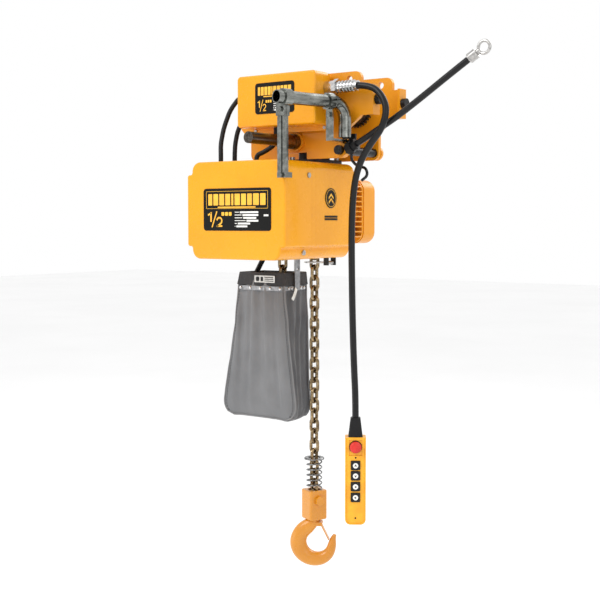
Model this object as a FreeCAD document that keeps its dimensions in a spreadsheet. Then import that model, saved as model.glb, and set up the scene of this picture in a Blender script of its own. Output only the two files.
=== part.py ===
"""Electric chain hoist hung under a motorised beam trolley, as an assembly of separate pieces.

Frame, in millimetres: +X along the beam, +Y across it towards the motor, +Z up. The origin is the
middle of the four wheel treads: X=0 on the suspension shaft, Y=0 in the beam's web, Z=0 on top of
the beam's lower flange.
"""
import FreeCAD, Part
import math
import os
import re

import Sketcher
from FreeCAD import Placement, Rotation, Vector

DIMENSIONS = [
    # alias, value, meaning
    ("plate_inner", 48, "inner face of a trolley side plate from the web"),
    ("plate_thick", 8, "side plate thickness"),
    ("plate_top", 81, "top edge of the side plates"),
    ("plate_bottom", -66, "bottom edge of the side plates"),
    ("plate_left", -128, "left end of the side plates' upper part"),
    ("plate_right", 136, "right end of the side plates' upper part"),
    ("plate_foot", 104, "half length of the side plates' lower part"),
    ("tread_radius", 28, "wheel tread radius"),
    ("flange_radius", 34, "wheel flange radius"),
    ("wheel_x", 62, "wheel axle distance from the middle"),
    ("wheel_inner", 14, "inner face of a wheel from the web"),
    ("tread_end", 42.5, "outer end of the tread, where the wheel flange starts"),
    ("wheel_outer", 47, "outer face of a wheel"),
    ("axle_radius", 7, "wheel axle radius"),
    ("shaft_z", -35, "suspension shaft height"),
    ("shaft_radius", 10, "suspension shaft radius"),
    ("shaft_near", -197, "near end of the suspension shaft"),
    ("shaft_far", 88, "far end of the suspension shaft"),
    ("tie_x", 97, "tie bar position along the beam"),
    ("tie_z", -53, "tie bar height"),
    ("tie_radius", 8, "tie bar radius"),
    ("box_left", -90, "left side of the trolley control box"),
    ("box_right", 80, "right side of the trolley control box"),
    ("box_top", 81, "top of the trolley control box"),
    ("box_bottom", -10, "bottom of the trolley control box"),
    ("box_back", -66, "back face of the trolley control box"),
    ("box_joint", -74, "joint between the box's tray and its cover"),
    ("box_front", -115, "front face of the trolley control box"),
    ("trolley_motor_radius", 34, "trolley motor case radius"),
    ("trolley_motor_end", 148, "end face of the trolley motor case"),
    ("axis_x", -36.5, "drive axis of the load sheave and motor"),
    ("axis_z", -158, "height of the drive axis"),
    ("centres", 48.75, "distance between the drive axis and the layshaft"),
    ("hoist_left", -144, "left side of the hoist casing"),
    ("hoist_right", 72, "right side of the hoist casing"),
    ("hoist_top", -73, "top of the hoist casing"),
    ("hoist_bottom", -243, "bottom of the hoist casing"),
    ("step_x", 11, "inset of the casing's stepped corners"),
    ("step_z", 22, "height of the casing's stepped corners"),
    ("cover_front", -190, "front face of the casing cover"),
    ("cover_joint", -112, "joint between the casing cover and the gear cover"),
    ("gear_joint", -100, "joint between the gear cover and the main casing"),
    ("gear_back", -50, "back wall of the gear chamber"),
    ("sheave_front", -26, "front wall of the sheave chamber"),
    ("sheave_back", 13, "back wall of the sheave chamber"),
    ("casing_back", 24, "back face of the main casing"),
    ("wall", 4, "casing wall"),
    ("motor_radius", 53, "motor frame radius under the fins"),
    ("fin_radius", 60, "motor radius over the fins"),
    ("frame_end", 128, "back end of the motor frame"),
    ("fan_end", 174, "back end of the fan cover"),
    ("sheave_radius", 36.5, "distance from the sheave's axis to each chain fall"),
    ("sheave_rim", 33, "rim radius of the load sheave"),
    ("hub_radius", 14, "sheave hub radius"),
    ("hub_bore", 8, "bore of the hollow sheave hub"),
    ("motor_shaft_radius", 7, "motor shaft radius"),
    ("layshaft_radius", 6, "layshaft radius"),
    ("chain_wire", 6.1, "chain wire thickness"),
    ("chain_pitch", 19.1, "chain pitch"),
    ("chain_width", 21.2, "outer width of a chain link"),
    ("hook_bolt_z", -697, "bolt that holds the chain's last link"),
    ("bolt_radius", 4.2, "radius of that bolt"),
    ("block_top", -679, "top of the hook block"),
    ("block_bottom", -735, "bottom of the hook block"),
    ("block_turn", -24, "turn of the hook block about the chain, degrees"),
    ("hook_turn", 30, "turn of the hook about the chain, degrees"),
    ("bowl_x", 6, "middle of the hook bowl, across the hook"),
    ("bowl_z", -778, "middle of the hook bowl"),
    ("striker_z", -618, "top of the chain spring's striker plate"),
    ("striker_radius", 19, "striker plate radius"),
    ("lever_z", -251, "top face of the limit lever"),
    ("lever_pivot_x", 34, "pivot of the limit lever"),
    ("bag_top", -272, "mouth of the chain bag"),
    ("bag_bottom", -550, "bottom of the chain bag"),
    ("bag_top_left", -146, "left side of the chain bag at its mouth"),
    ("bag_top_right", -46, "right side of the chain bag at its mouth"),
    ("bag_foot_left", -200, "left side of the chain bag at its foot"),
    ("bag_foot_right", -24, "right side of the chain bag at its foot"),
    ("bag_half_depth", 36, "half depth of the chain bag at its mouth"),
    ("bag_foot_depth", 26, "half depth of the chain bag at its foot"),
    ("bag_cloth", 2.5, "thickness of the chain bag's cloth solid"),
    ("pendant_x", 141, "pendant position along the beam"),
    ("pendant_y", -78, "pendant position across the beam"),
    ("pendant_turn", 34, "turn of the pendant about its cord, degrees"),
    ("pendant_top", -549, "top of the pendant's case"),
    ("pendant_bottom", -702, "bottom of the pendant's case"),
    ("pendant_width", 36, "width of the pendant's case"),
    ("pendant_depth", 28, "depth of the pendant's case"),
    ("button_size", 16, "side of a push button"),
    ("pendant_cord_diameter", 11.5, "pendant cord diameter"),
    ("power_cord_diameter", 11, "power cord diameter"),
    ("link_cable_diameter", 8.5, "diameter of the cables from trolley to hoist"),
    ("arm_radius", 11, "tow arm pipe radius"),
    ("arm_wall", 1.6, "tow arm pipe wall"),
    ("arm_z", 26, "height of the tow arm pipe"),
    ("gland_y", -78, "pendant gland position across the beam"),
    ("gland_z", 53, "pendant gland height"),
    ("gland_end", 144, "end of the pendant gland"),
    ("gap", 0.3, "gap between neighbouring pieces"),
    ("fit", 0.06, "radial clearance of a running fit"),
]
ALIASES = {alias for alias, _, _ in DIMENSIONS}
PLANES = {"x": ("YZ_Plane", 1), "y": ("XZ_Plane", -1), "z": ("XY_Plane", 1)}
ALONG = {"x": Rotation(Vector(0, 1, 0), 90), "y": Rotation(Vector(1, 0, 0), -90), "z": Rotation()}
UP = Vector(0, 0, 1)

doc = FreeCAD.newDocument("chain_hoist")
sheet = doc.addObject("Spreadsheet::Sheet", "Dims")
nodes = []


def fill_sheet():
    for row, (alias, value, meaning) in enumerate(DIMENSIONS, start=1):
        sheet.set(f"A{row}", alias)
        sheet.set(f"B{row}", str(value))
        sheet.set(f"C{row}", meaning)
        sheet.setAlias(f"B{row}", alias)
    doc.recompute()


def ex(text):
    """An expression in which every alias names its cell in the sheet."""
    return re.sub(r"[a-z_]+", lambda word: f"Dims.{word[0]}" if word[0] in ALIASES else word[0], str(text))


def size(text):
    """The value of an expression, in millimetres or degrees."""
    return float(sheet.evalExpression(ex(text)))


def node(piece, name):
    """Give a finished piece its node name."""
    piece.Label = name
    nodes.append(piece)
    return piece


# --- Part primitives tied to the sheet ---------------------------------------------------------

def place(piece, at, turn=None):
    if turn is not None:
        piece.Placement = Placement(Vector(), turn)
    for axis, text in zip("xyz", at):
        piece.setExpression(f"Placement.Base.{axis}", ex(text))


def block(name, x, y, z):
    """A box between two stations on each axis."""
    piece = doc.addObject("Part::Box", name)
    for side, (low, high) in zip(("Length", "Width", "Height"), (x, y, z)):
        piece.setExpression(side, ex(f"({high}) - ({low})"))
    place(piece, (x[0], y[0], z[0]))
    return piece


def rod(name, along, radius, low, high, across):
    """A cylinder along one axis, from low to high; across holds its place on the other two axes."""
    piece = doc.addObject("Part::Cylinder", name)
    piece.setExpression("Radius", ex(radius))
    piece.setExpression("Height", ex(f"({high}) - ({low})"))
    spot = list(across)
    spot.insert("xyz".index(along), low)
    place(piece, spot, ALONG[along])
    return piece


def fuse(name, pieces):
    piece = doc.addObject("Part::MultiFuse", name)
    piece.Shapes = pieces
    return piece


def cut(name, base, tools):
    piece = doc.addObject("Part::Cut", name)
    piece.Base = base
    piece.Tool = tools[0] if len(tools) == 1 else fuse(f"{name}_tools", tools)
    return piece


def group(name, pieces):
    """Separate solids in one node."""
    piece = doc.addObject("Part::Compound", name)
    piece.Links = pieces
    return piece


def ring(name, along, outer, inner, low, high, across):
    return cut(name, rod(f"{name}_blank", along, outer, low, high, across),
               [rod(f"{name}_bore", along, inner, f"({low}) - 1", f"({high}) + 1", across)])


def feature(name, shape, spot=None):
    """A piece whose shape is made by the functions below."""
    piece = doc.addObject("Part::Feature", name)
    piece.Shape = shape
    if spot is not None:
        piece.Placement = spot
    return piece


# --- PartDesign bodies tied to the sheet --------------------------------------------------------

def new_body(name):
    return doc.addObject("PartDesign::Body", name)


def sketch_on(body, axis, station):
    """A sketch square to an axis, at a station on it."""
    role, sign = PLANES[axis]
    sketch = body.newObject("Sketcher::SketchObject", f"{body.Name}_sketch")
    plane = next(item for item in body.Origin.OriginFeatures if item.Role == role)
    sketch.AttachmentSupport = [(plane, "")]
    sketch.MapMode = "FlatFace"
    sketch.setExpression("AttachmentOffset.Base.z", ex(f"{sign} * ({station})"))
    return sketch


def pin(sketch, item, end, x, y):
    """Tie a point of the sketch to its two coordinates."""
    for kind, text, zero_axis in (("DistanceX", x, -2), ("DistanceY", y, -1)):
        value = size(text)
        if abs(value) < 1e-9:
            sketch.addConstraint(Sketcher.Constraint("PointOnObject", item, end, zero_axis))
            continue
        index = sketch.addConstraint(Sketcher.Constraint(kind, -1, 1, item, end, value))
        sketch.setExpression(f"Constraints[{index}]", ex(text))


def draw(sketch, shapes):
    """Draw circles (x, y, radius) and polygons [(x, y), ...]."""
    for shape in shapes:
        if isinstance(shape, tuple):
            x, y, radius = shape
            item = sketch.addGeometry(Part.Circle(Vector(size(x), size(y), 0), UP, size(radius)))
            pin(sketch, item, 3, x, y)
            index = sketch.addConstraint(Sketcher.Constraint("Radius", item, size(radius)))
            sketch.setExpression(f"Constraints[{index}]", ex(radius))
            continue
        spots = [Vector(size(x), size(y), 0) for x, y in shape]
        first = sketch.GeometryCount
        for here, there in zip(spots, spots[1:] + spots[:1]):
            sketch.addGeometry(Part.LineSegment(here, there))
        count = len(spots)
        for index in range(count):
            follower = first + (index + 1) % count
            sketch.addConstraint(Sketcher.Constraint("Coincident", first + index, 2, follower, 1))
        for index, (x, y) in enumerate(shape):
            pin(sketch, first + index, 1, x, y)


def add(body, axis, low, high, shapes):
    """Pad a sketch between two stations."""
    start = low if PLANES[axis][1] > 0 else high
    sketch = sketch_on(body, axis, start)
    draw(sketch, shapes)
    pad = body.newObject("PartDesign::Pad", f"{body.Name}_pad")
    pad.Profile = sketch
    pad.setExpression("Length", ex(f"({high}) - ({low})"))
    doc.recompute()


def remove(body, axis, low, high, shapes):
    """Pocket a sketch between two stations, and make sure that it cuts."""
    start = high if PLANES[axis][1] > 0 else low
    before = body.Shape.Volume
    sketch = sketch_on(body, axis, start)
    draw(sketch, shapes)
    pocket = body.newObject("PartDesign::Pocket", f"{body.Name}_pocket")
    pocket.Profile = sketch
    pocket.setExpression("Length", ex(f"({high}) - ({low})"))
    doc.recompute()
    if body.Shape.Volume > before - 0.01:
        raise RuntimeError(f"{body.Name}: a pocket cuts nothing")


def turn_profile(body, points, axis="H_Axis"):
    """Revolve a polygon, drawn across Y and Z, about the Y direction or the Z direction."""
    sketch = sketch_on(body, "x", "0")
    draw(sketch, [points])
    revolution = body.newObject("PartDesign::Revolution", f"{body.Name}_revolution")
    revolution.Profile = sketch
    revolution.ReferenceAxis = (sketch, [axis])
    revolution.Angle = 360
    doc.recompute()


def round_edges(body, radius, wanted):
    """Fillet the edges of a body's tip that wanted(edge) picks."""
    tip = body.Tip
    names = [f"Edge{number}" for number, edge in enumerate(tip.Shape.Edges, start=1) if wanted(edge)]
    fillet = body.newObject("PartDesign::Fillet", f"{body.Name}_fillet")
    fillet.Base = (tip, names)
    fillet.setExpression("Radius", ex(radius))
    doc.recompute()
    if not names or not fillet.isValid():
        raise RuntimeError(f"{body.Name}: the fillet of {radius} mm failed on {len(names)} edges")


def lies_along(edge, axis):
    """Whether an edge is a straight line along an axis."""
    if not isinstance(edge.Curve, Part.Line):
        return False
    step = edge.Vertexes[-1].Point - edge.Vertexes[0].Point
    return abs(abs(getattr(step, axis)) - step.Length) < 1e-6


def at(edge, **spots):
    """Whether every point of an edge has the given coordinates."""
    points = [vertex.Point for vertex in edge.Vertexes]
    return all(abs(getattr(point, axis) - size(text)) < 1e-3 for point in points
               for axis, text in spots.items())


def rect(x_low, x_high, y_low, y_high):
    return [(x_low, y_low), (x_high, y_low), (x_high, y_high), (x_low, y_high)]


# --- shapes that neither primitives nor bodies fit ----------------------------------------------

def gear(teeth, module, width, bore, gap_first=False):
    """A spur gear about Z with involute flanks, its first tooth or gap on +X."""
    pitch = teeth * module / 2
    base = pitch * math.cos(math.radians(20))
    tip = pitch + 0.86 * module
    root = pitch - 1.2 * module
    play = 0.12 * module / pitch
    half_tooth = math.pi / (2 * teeth) + math.tan(math.radians(20)) - math.radians(20) - play
    steps = 5
    start = max(root, base)
    edges = []
    corners = []
    for tooth in range(teeth):
        middle = 2 * math.pi * (tooth + (0.5 if gap_first else 0)) / teeth
        flank = []
        for step in range(steps + 1):
            radius = start + (tip - start) * step / steps
            roll = math.sqrt(max(0, (radius / base) ** 2 - 1))
            flank.append((radius, half_tooth - (roll - math.atan(roll))))
        left = [polar(root, middle - flank[0][1])] + [polar(r, middle - a) for r, a in flank]
        right = [polar(r, middle + a) for r, a in reversed(flank)] + [polar(root, middle + flank[0][1])]
        if root >= base:
            left, right = left[1:], right[:-1]
        corners.extend(left + right)
    for here, there in zip(corners, corners[1:] + corners[:1]):
        edges.append(Part.LineSegment(here, there).toShape())
    blank = Part.Face(Part.Wire(edges)).extrude(UP * width)
    return blank.cut(Part.makeCylinder(bore, width + 2, Vector(0, 0, -1)))


def polar(radius, angle):
    return Vector(radius * math.cos(angle), radius * math.sin(angle), 0)


def across_y(x, y_low, z):
    """Turn a shape made about Z so that it lies along Y from y_low, its +X still +X."""
    return Placement(Vector(x, y_low, z), Rotation(Vector(1, 0, 0), -90))


def rounded_rectangle(left, right, half_depth, z, corner):
    """A rounded rectangle square to Z."""
    low, high = Vector(left, -half_depth, z), Vector(right, half_depth, z)
    quarter = corner * (1 - math.sqrt(0.5))
    edges = []
    spots = [(low.x, low.y, 1, 1), (high.x, low.y, -1, 1), (high.x, high.y, -1, -1), (low.x, high.y, 1, -1)]
    joints = []
    for x, y, sx, sy in spots:
        along_y = Vector(x, y + sy * corner, z)
        along_x = Vector(x + sx * corner, y, z)
        middle = Vector(x + sx * quarter, y + sy * quarter, z)
        joints.append((along_y, middle, along_x) if sx * sy > 0 else (along_x, middle, along_y))
    for (start, middle, end), (onward, _, _) in zip(joints, joints[1:] + joints[:1]):
        edges.append(Part.Arc(start, middle, end).toShape())
        edges.append(Part.LineSegment(end, onward).toShape())
    return Part.Wire(edges)


def hexagon(across_flats, height):
    radius = across_flats / math.sqrt(3)
    corners = [polar(radius, math.radians(60 * index)) for index in range(7)]
    return Part.Face(Part.makePolygon(corners)).extrude(UP * height)


def chain_link():
    """One link in the XZ plane, centred, its length along Z."""
    wire = size("chain_wire") / 2
    bend = size("chain_width") / 2 - wire
    straight = size("chain_pitch") / 2 + 0.1 + wire - bend
    left, right = Vector(-bend, 0, 0), Vector(bend, 0, 0)
    lift = Vector(0, 0, straight)
    path = Part.Wire([
        Part.LineSegment(right - lift, right + lift).toShape(),
        Part.Arc(right + lift, lift + UP * bend, left + lift).toShape(),
        Part.LineSegment(left + lift, left - lift).toShape(),
        Part.Arc(left - lift, -lift - UP * bend, right - lift).toShape(),
    ])
    profile = Part.Wire(Part.Circle(right - lift, UP, wire).toShape())
    return Part.Solid(path.makePipeShell([profile], True, False))


def chain_run(x, lowest, count, first_crosswise, twist):
    """Links up from the lowest one. The lowest ones twist about the chain, as they hang."""
    link = chain_link()
    links = []
    for index in range(count):
        turn = 90 if (index % 2 == 0) == first_crosswise else 0
        turn += twist * max(0, 4 - index) / 4
        piece = link.copy()
        piece.Placement = Placement(Vector(x, 0, lowest + index * size("chain_pitch")), Rotation(UP, turn))
        links.append(piece)
    return Part.Compound(links)


def cord_path(name, route):
    """Straight runs joined by tangent arcs as large as the runs allow. Prints the tightest arc."""
    points = [Vector(*spot) for spot in route]
    edges = []
    radii = []
    last = points[0]
    for before, corner, after in zip(points, points[1:], points[2:]):
        inward, outward = before - corner, after - corner
        reach = 0.45 * min(inward.Length, outward.Length)
        inward.normalize()
        outward.normalize()
        half_turn = (math.pi - inward.getAngle(outward)) / 2
        radius = reach / math.tan(half_turn)
        radii.append(radius)
        middle = (inward + outward).normalize() * (reach / math.sin(half_turn) - radius)
        start, end = corner + inward * reach, corner + outward * reach
        edges.append(Part.LineSegment(last, start).toShape())
        edges.append(Part.Arc(start, corner + middle, end).toShape())
        last = end
    edges.append(Part.LineSegment(last, points[-1]).toShape())
    print(f"{name}: length {sum(edge.Length for edge in edges):.1f}, radii",
          " ".join(f"{radius:.0f}" for radius in radii))
    return Part.Wire(edges)


def cord_tube(name, route, diameter):
    path = cord_path(name, route)
    start = Vector(*route[0])
    direction = Vector(*route[1]) - start
    profile = Part.Wire(Part.Circle(start, direction, diameter / 2).toShape())
    tube = Part.Solid(path.makePipeShell([profile], True, False))
    expected = math.pi * diameter ** 2 / 4 * path.Length
    if abs(tube.Volume - expected) > 0.01 * expected:
        raise RuntimeError(f"{name}: volume {tube.Volume:.0f}, expected {expected:.0f}")
    return tube


# --- trolley ------------------------------------------------------------------------------------

def side_plate(name, side):
    """A side plate with an ear at each end and a bumper bracket; side is -1 near, 1 far."""
    low, high = (("-plate_inner - plate_thick", "-plate_inner") if side < 0
                 else ("plate_inner", "plate_inner + plate_thick"))
    body = new_body(name)
    add(body, "y", low, high, [[
        ("plate_left", "plate_top"), ("plate_right", "plate_top"), ("plate_right", "5"),
        ("plate_foot + 4", "-16"), ("plate_foot + 4", "plate_bottom"), ("-plate_foot", "plate_bottom"),
        ("-plate_foot", "-30"), ("plate_left", "-6")]])
    round_edges(body, "12", lambda edge: lies_along(edge, "y"))
    inner, outer = sorted((low, high), key=lambda text: abs(size(text)))
    collar = sorted((outer, f"{outer} + {side * 6}"), key=size)
    add(body, "y", *collar, [("tie_x", "tie_z", "tie_radius + 5"), ("0", "shaft_z", "shaft_radius + 7")])
    bracket = sorted((inner, f"{inner} - {side * 14}"), key=size)
    add(body, "y", low, high, [rect("plate_right - 14", "160", "6", "58")])
    add(body, "y", *bracket, [rect("155", "160", "6", "58")])
    through = (f"{collar[0]} - 1", f"{low} - 1")[side > 0], (f"{high} + 1", f"{collar[1]} + 1")[side > 0]
    remove(body, "y", *through, [("0", "shaft_z", "shaft_radius + gap")])
    remove(body, "y", *through, [("tie_x", "tie_z", "tie_radius + gap")])
    for sign in ("-", ""):
        remove(body, "y", f"{low} - 1", f"{high} + 1",
               [(f"{sign}wheel_x", "tread_radius", "axle_radius + gap")])
        remove(body, "y", f"{low} - 1", f"{high} + 1", [(f"{sign}112", "68", "6")])
    remove(body, "y", f"{low} - 1", f"{high} + 1", [rect("-24", "22", "plate_bottom - 1", "shaft_z - 19")])
    if side > 0:
        remove(body, "y", f"{low} - 1", f"{high} + 1", [("0", "tread_radius", "9")])
    return node(body, name)


def wheel(name, x, side):
    """A trolley wheel on a stub axle. The far wheels carry a gear rim in place of the flange."""
    sign = "-" if side < 0 else ""
    stations = [f"{sign}{text}" for text in ("wheel_inner", "tread_end", "wheel_outer")]
    inner, edge_y, outer = stations
    bore = "axle_radius + fit"
    body = new_body(f"{name}_tread")
    tread = [(inner, bore), (inner, "tread_radius - 2"), (f"{inner} + {2 * side}", "tread_radius")]
    plain_end = [(outer, "tread_radius")]
    flange = [(edge_y, "tread_radius"), (edge_y, "flange_radius - 1"), (f"{edge_y} - 1", "flange_radius"),
              (f"{outer} + 1", "flange_radius"), (outer, "flange_radius - 1")]
    turn_profile(body, tread + (flange if side < 0 else plain_end) + [(outer, bore)])
    if side < 0:
        place(body, (x, "0", "tread_radius"))
        return node(body, name)
    rim = gear(32, 2, size("wheel_outer - tread_end"), size("tread_radius") - 4, True)
    spot = across_y(size(x), size("tread_end"), size("tread_radius"))
    place(body, (x, "0", "tread_radius"))
    return node(fuse(f"{name}_geared", [body, feature(f"{name}_rim", rim, spot)]), name)


def wheel_axles():
    """Stub axles with a head inside the wheel and a nut outside the plate."""
    pieces = []
    for side, sign in ((-1, "near"), (1, "far")):
        for x, end in (("-wheel_x", "left"), ("wheel_x", "right")):
            name = f"axle_{sign}_{end}"
            low, high = sorted((f"{side} * (wheel_inner - 1)", f"{side} * (plate_inner + plate_thick)"), key=size)
            shaft = rod(f"{name}_shaft", "y", "axle_radius", low, high, (x, "tread_radius"))
            low, high = sorted((f"{side} * (wheel_inner - 4)", f"{side} * (wheel_inner - gap)"), key=size)
            head = rod(f"{name}_head", "y", "11", low, high, (x, "tread_radius"))
            low, high = sorted((f"{side} * (plate_inner + plate_thick)", f"{side} * (plate_inner + plate_thick + 7)"),
                               key=size)
            nut = rod(f"{name}_nut", "y", "11", low, high, (x, "tread_radius"))
            pieces.append(fuse(name, [shaft, head, nut]))
    return node(group("axles", pieces), "wheel_axles")


def trolley():
    side_plate("near_side_plate", -1)
    side_plate("far_side_plate", 1)
    for side, end in ((-1, "near"), (1, "far")):
        wheel(f"{end}_wheel_left", "-wheel_x", side)
        wheel(f"{end}_wheel_right", "wheel_x", side)
    wheel_axles()

    shaft = rod("shaft_blank", "y", "shaft_radius", "shaft_near", "shaft_far", ("0", "shaft_z"))
    holes = [rod(f"shaft_hole_{index}", "z", "2", "shaft_z - 12", "shaft_z + 12", ("0", y))
             for index, y in enumerate(("shaft_near + 8", "shaft_far - 8"))]
    node(cut("shaft_drilled", shaft, holes), "suspension_shaft")

    outside = "plate_inner + plate_thick + 6"
    stations = [(f"-({outside}) - {2.6 * index + 2.4}", f"-({outside}) - {2.6 * index}") for index in range(5)]
    stations.append((f"-({outside}) - 46", f"-({outside}) - 13.2"))
    stations.append((f"{outside}", f"{outside} + 12"))
    spacers = [ring(f"spacer_{index}", "y", "13.5" if index < 5 else "12.5", "shaft_radius + gap", low, high,
                    ("0", "shaft_z")) for index, (low, high) in enumerate(stations)]
    node(group("spacers", spacers), "shaft_spacers")

    node(rod("tie_rod", "y", "tie_radius", "-plate_inner - plate_thick - 14", "plate_inner + plate_thick + 10",
             ("tie_x", "tie_z")), "tie_bar")

    eyes = [rod(f"yoke_eye_{index}", "y", "15", y, f"{y} + 18", ("0", "shaft_z"))
            for index, y in enumerate(("-44", "26"))]
    posts = [rod(f"yoke_post_{index}", "z", "8.6", "hoist_top + 4", "shaft_z", ("0", y))
             for index, y in enumerate(("-35", "35"))]
    base = new_body("yoke_base")
    add(base, "z", "hoist_top", "shaft_z - 30", [rect("-34", "34", "-44", "44")])
    round_edges(base, "7", lambda edge: lies_along(edge, "z"))
    bore = rod("yoke_bore", "y", "shaft_radius + gap", "-46", "46", ("0", "shaft_z"))
    node(cut("yoke", fuse("yoke_solid", eyes + posts + [base]), [bore]), "suspension_yoke")

    rubbers = []
    for side, y in ((-1, "-plate_inner + 4"), (1, "plate_inner - 4")):
        name = f"bumper_{'near' if side < 0 else 'far'}"
        rubbers.append(rod(name, "x", "9", "160", "169", (y, "32")))
    node(group("bumper_pair", rubbers), "bumpers")

    tray = new_body("box_tray")
    add(tray, "y", "box_joint", "box_back", [
        rect("box_left + 2", "box_right - 2", "box_bottom + 2", "box_top - 2")])
    for x in ("-79", "20", "70"):
        for z in ("0", "72"):
            add(tray, "y", "box_back", "-plate_inner - plate_thick", [(x, z, "5")])
    remove(tray, "y", "box_joint", "box_back - 2.5",
           [rect("box_left + 6", "box_right - 6", "box_bottom + 6", "box_top - 6")])
    node(tray, "trolley_box_tray")

    cover = new_body("box_cover")
    add(cover, "y", "box_front", "box_joint - 0.2", [rect("box_left", "box_right", "box_bottom", "box_top")])
    round_edges(cover, "7", lambda edge: lies_along(edge, "y"))
    round_edges(cover, "3.5", lambda edge: at(edge, y="box_front"))
    remove(cover, "y", "box_front + 2.5", "box_joint + 1",
           [rect("box_left + 4", "box_right - 4", "box_bottom + 4", "box_top - 4")])
    add(cover, "y", "box_joint - 3.2", "box_joint - 0.2", [[
        ("box_left + 4", "box_bottom + 3"), ("box_left + 14", "box_bottom - 9"),
        ("box_right + 1", "box_bottom - 9"), ("box_right + 1", "box_bottom + 3")]])
    node(cover, "trolley_box_cover")

    drive = gear(30, 2, size("wheel_outer - tread_end"), size("layshaft_radius") - 1)
    middle = ("0", "tread_radius")
    node(fuse("trolley_drive", [
        feature("drive_pinion", drive, across_y(0, size("tread_end"), size("tread_radius"))),
        rod("drive_shaft", "y", "layshaft_radius", "tread_end - 2", "trolley_motor_end - 10", middle),
        rod("drive_rotor", "y", "20", "78", "116", middle)]), "trolley_drive_shaft")
    case = new_body("trolley_motor")
    skin = "trolley_motor_radius"
    turn_profile(case, [
        ("plate_inner + plate_thick", "9"), ("plate_inner + plate_thick", f"{skin} + 8"),
        ("plate_inner + plate_thick + 6", f"{skin} + 8"), ("plate_inner + plate_thick + 8", skin),
        ("trolley_motor_end - 6", skin), ("trolley_motor_end", f"{skin} - 6"), ("trolley_motor_end", "0"),
        ("trolley_motor_end - 5", "0"), ("trolley_motor_end - 5", f"{skin} - 7"),
        ("plate_inner + plate_thick + 6", f"{skin} - 7"), ("plate_inner + plate_thick + 6", "9")])
    place(case, ("0", "0", "tread_radius"))
    node(case, "trolley_motor_case")


# --- hoist casing -------------------------------------------------------------------------------

def casing_outline():
    """The casing seen from the front: stepped corners, except the top right one."""
    return [("hoist_left + step_x", "hoist_top"), ("hoist_right", "hoist_top"),
            ("hoist_right", "hoist_bottom + step_z"), ("hoist_right - step_x", "hoist_bottom + step_z"),
            ("hoist_right - step_x", "hoist_bottom"), ("hoist_left + step_x", "hoist_bottom"),
            ("hoist_left + step_x", "hoist_bottom + step_z"), ("hoist_left", "hoist_bottom + step_z"),
            ("hoist_left", "hoist_top - step_z"), ("hoist_left + step_x", "hoist_top - step_z")]


def casing_section(name, low, high):
    """A slice of the casing with its corners rounded."""
    body = new_body(name)
    add(body, "y", low, high, [casing_outline()])
    corners = [("hoist_left + step_x", "hoist_top"), ("hoist_left + step_x", "hoist_bottom"),
               ("hoist_right - step_x", "hoist_bottom")]
    round_edges(body, "17", lambda edge: lies_along(edge, "y") and (
        at(edge, x="hoist_right", z="hoist_top") or any(at(edge, x=x, z=z) for x, z in corners)))
    round_edges(body, "4.5", lambda edge: lies_along(edge, "y") and (
        any(at(edge, x=x, z=z) for x in ("hoist_left", "hoist_left + step_x")
            for z in ("hoist_top - step_z", "hoist_bottom + step_z"))
        or any(at(edge, x=x, z="hoist_bottom + step_z") for x in ("hoist_right", "hoist_right - step_x"))))
    return body


def motor_section(low, high, proud):
    """A rounded square round the drive axis, between two stations across the beam."""
    half = size("fin_radius") + proud
    outline = rounded_rectangle(-half - 2, half + 2, half, 0, 21 + proud)
    prism = Part.Face(outline).extrude(UP * (size(high) - size(low)))
    prism.Placement = across_y(size("axis_x"), size(low), size("axis_z"))
    return prism.copy().removeSplitter()


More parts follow.
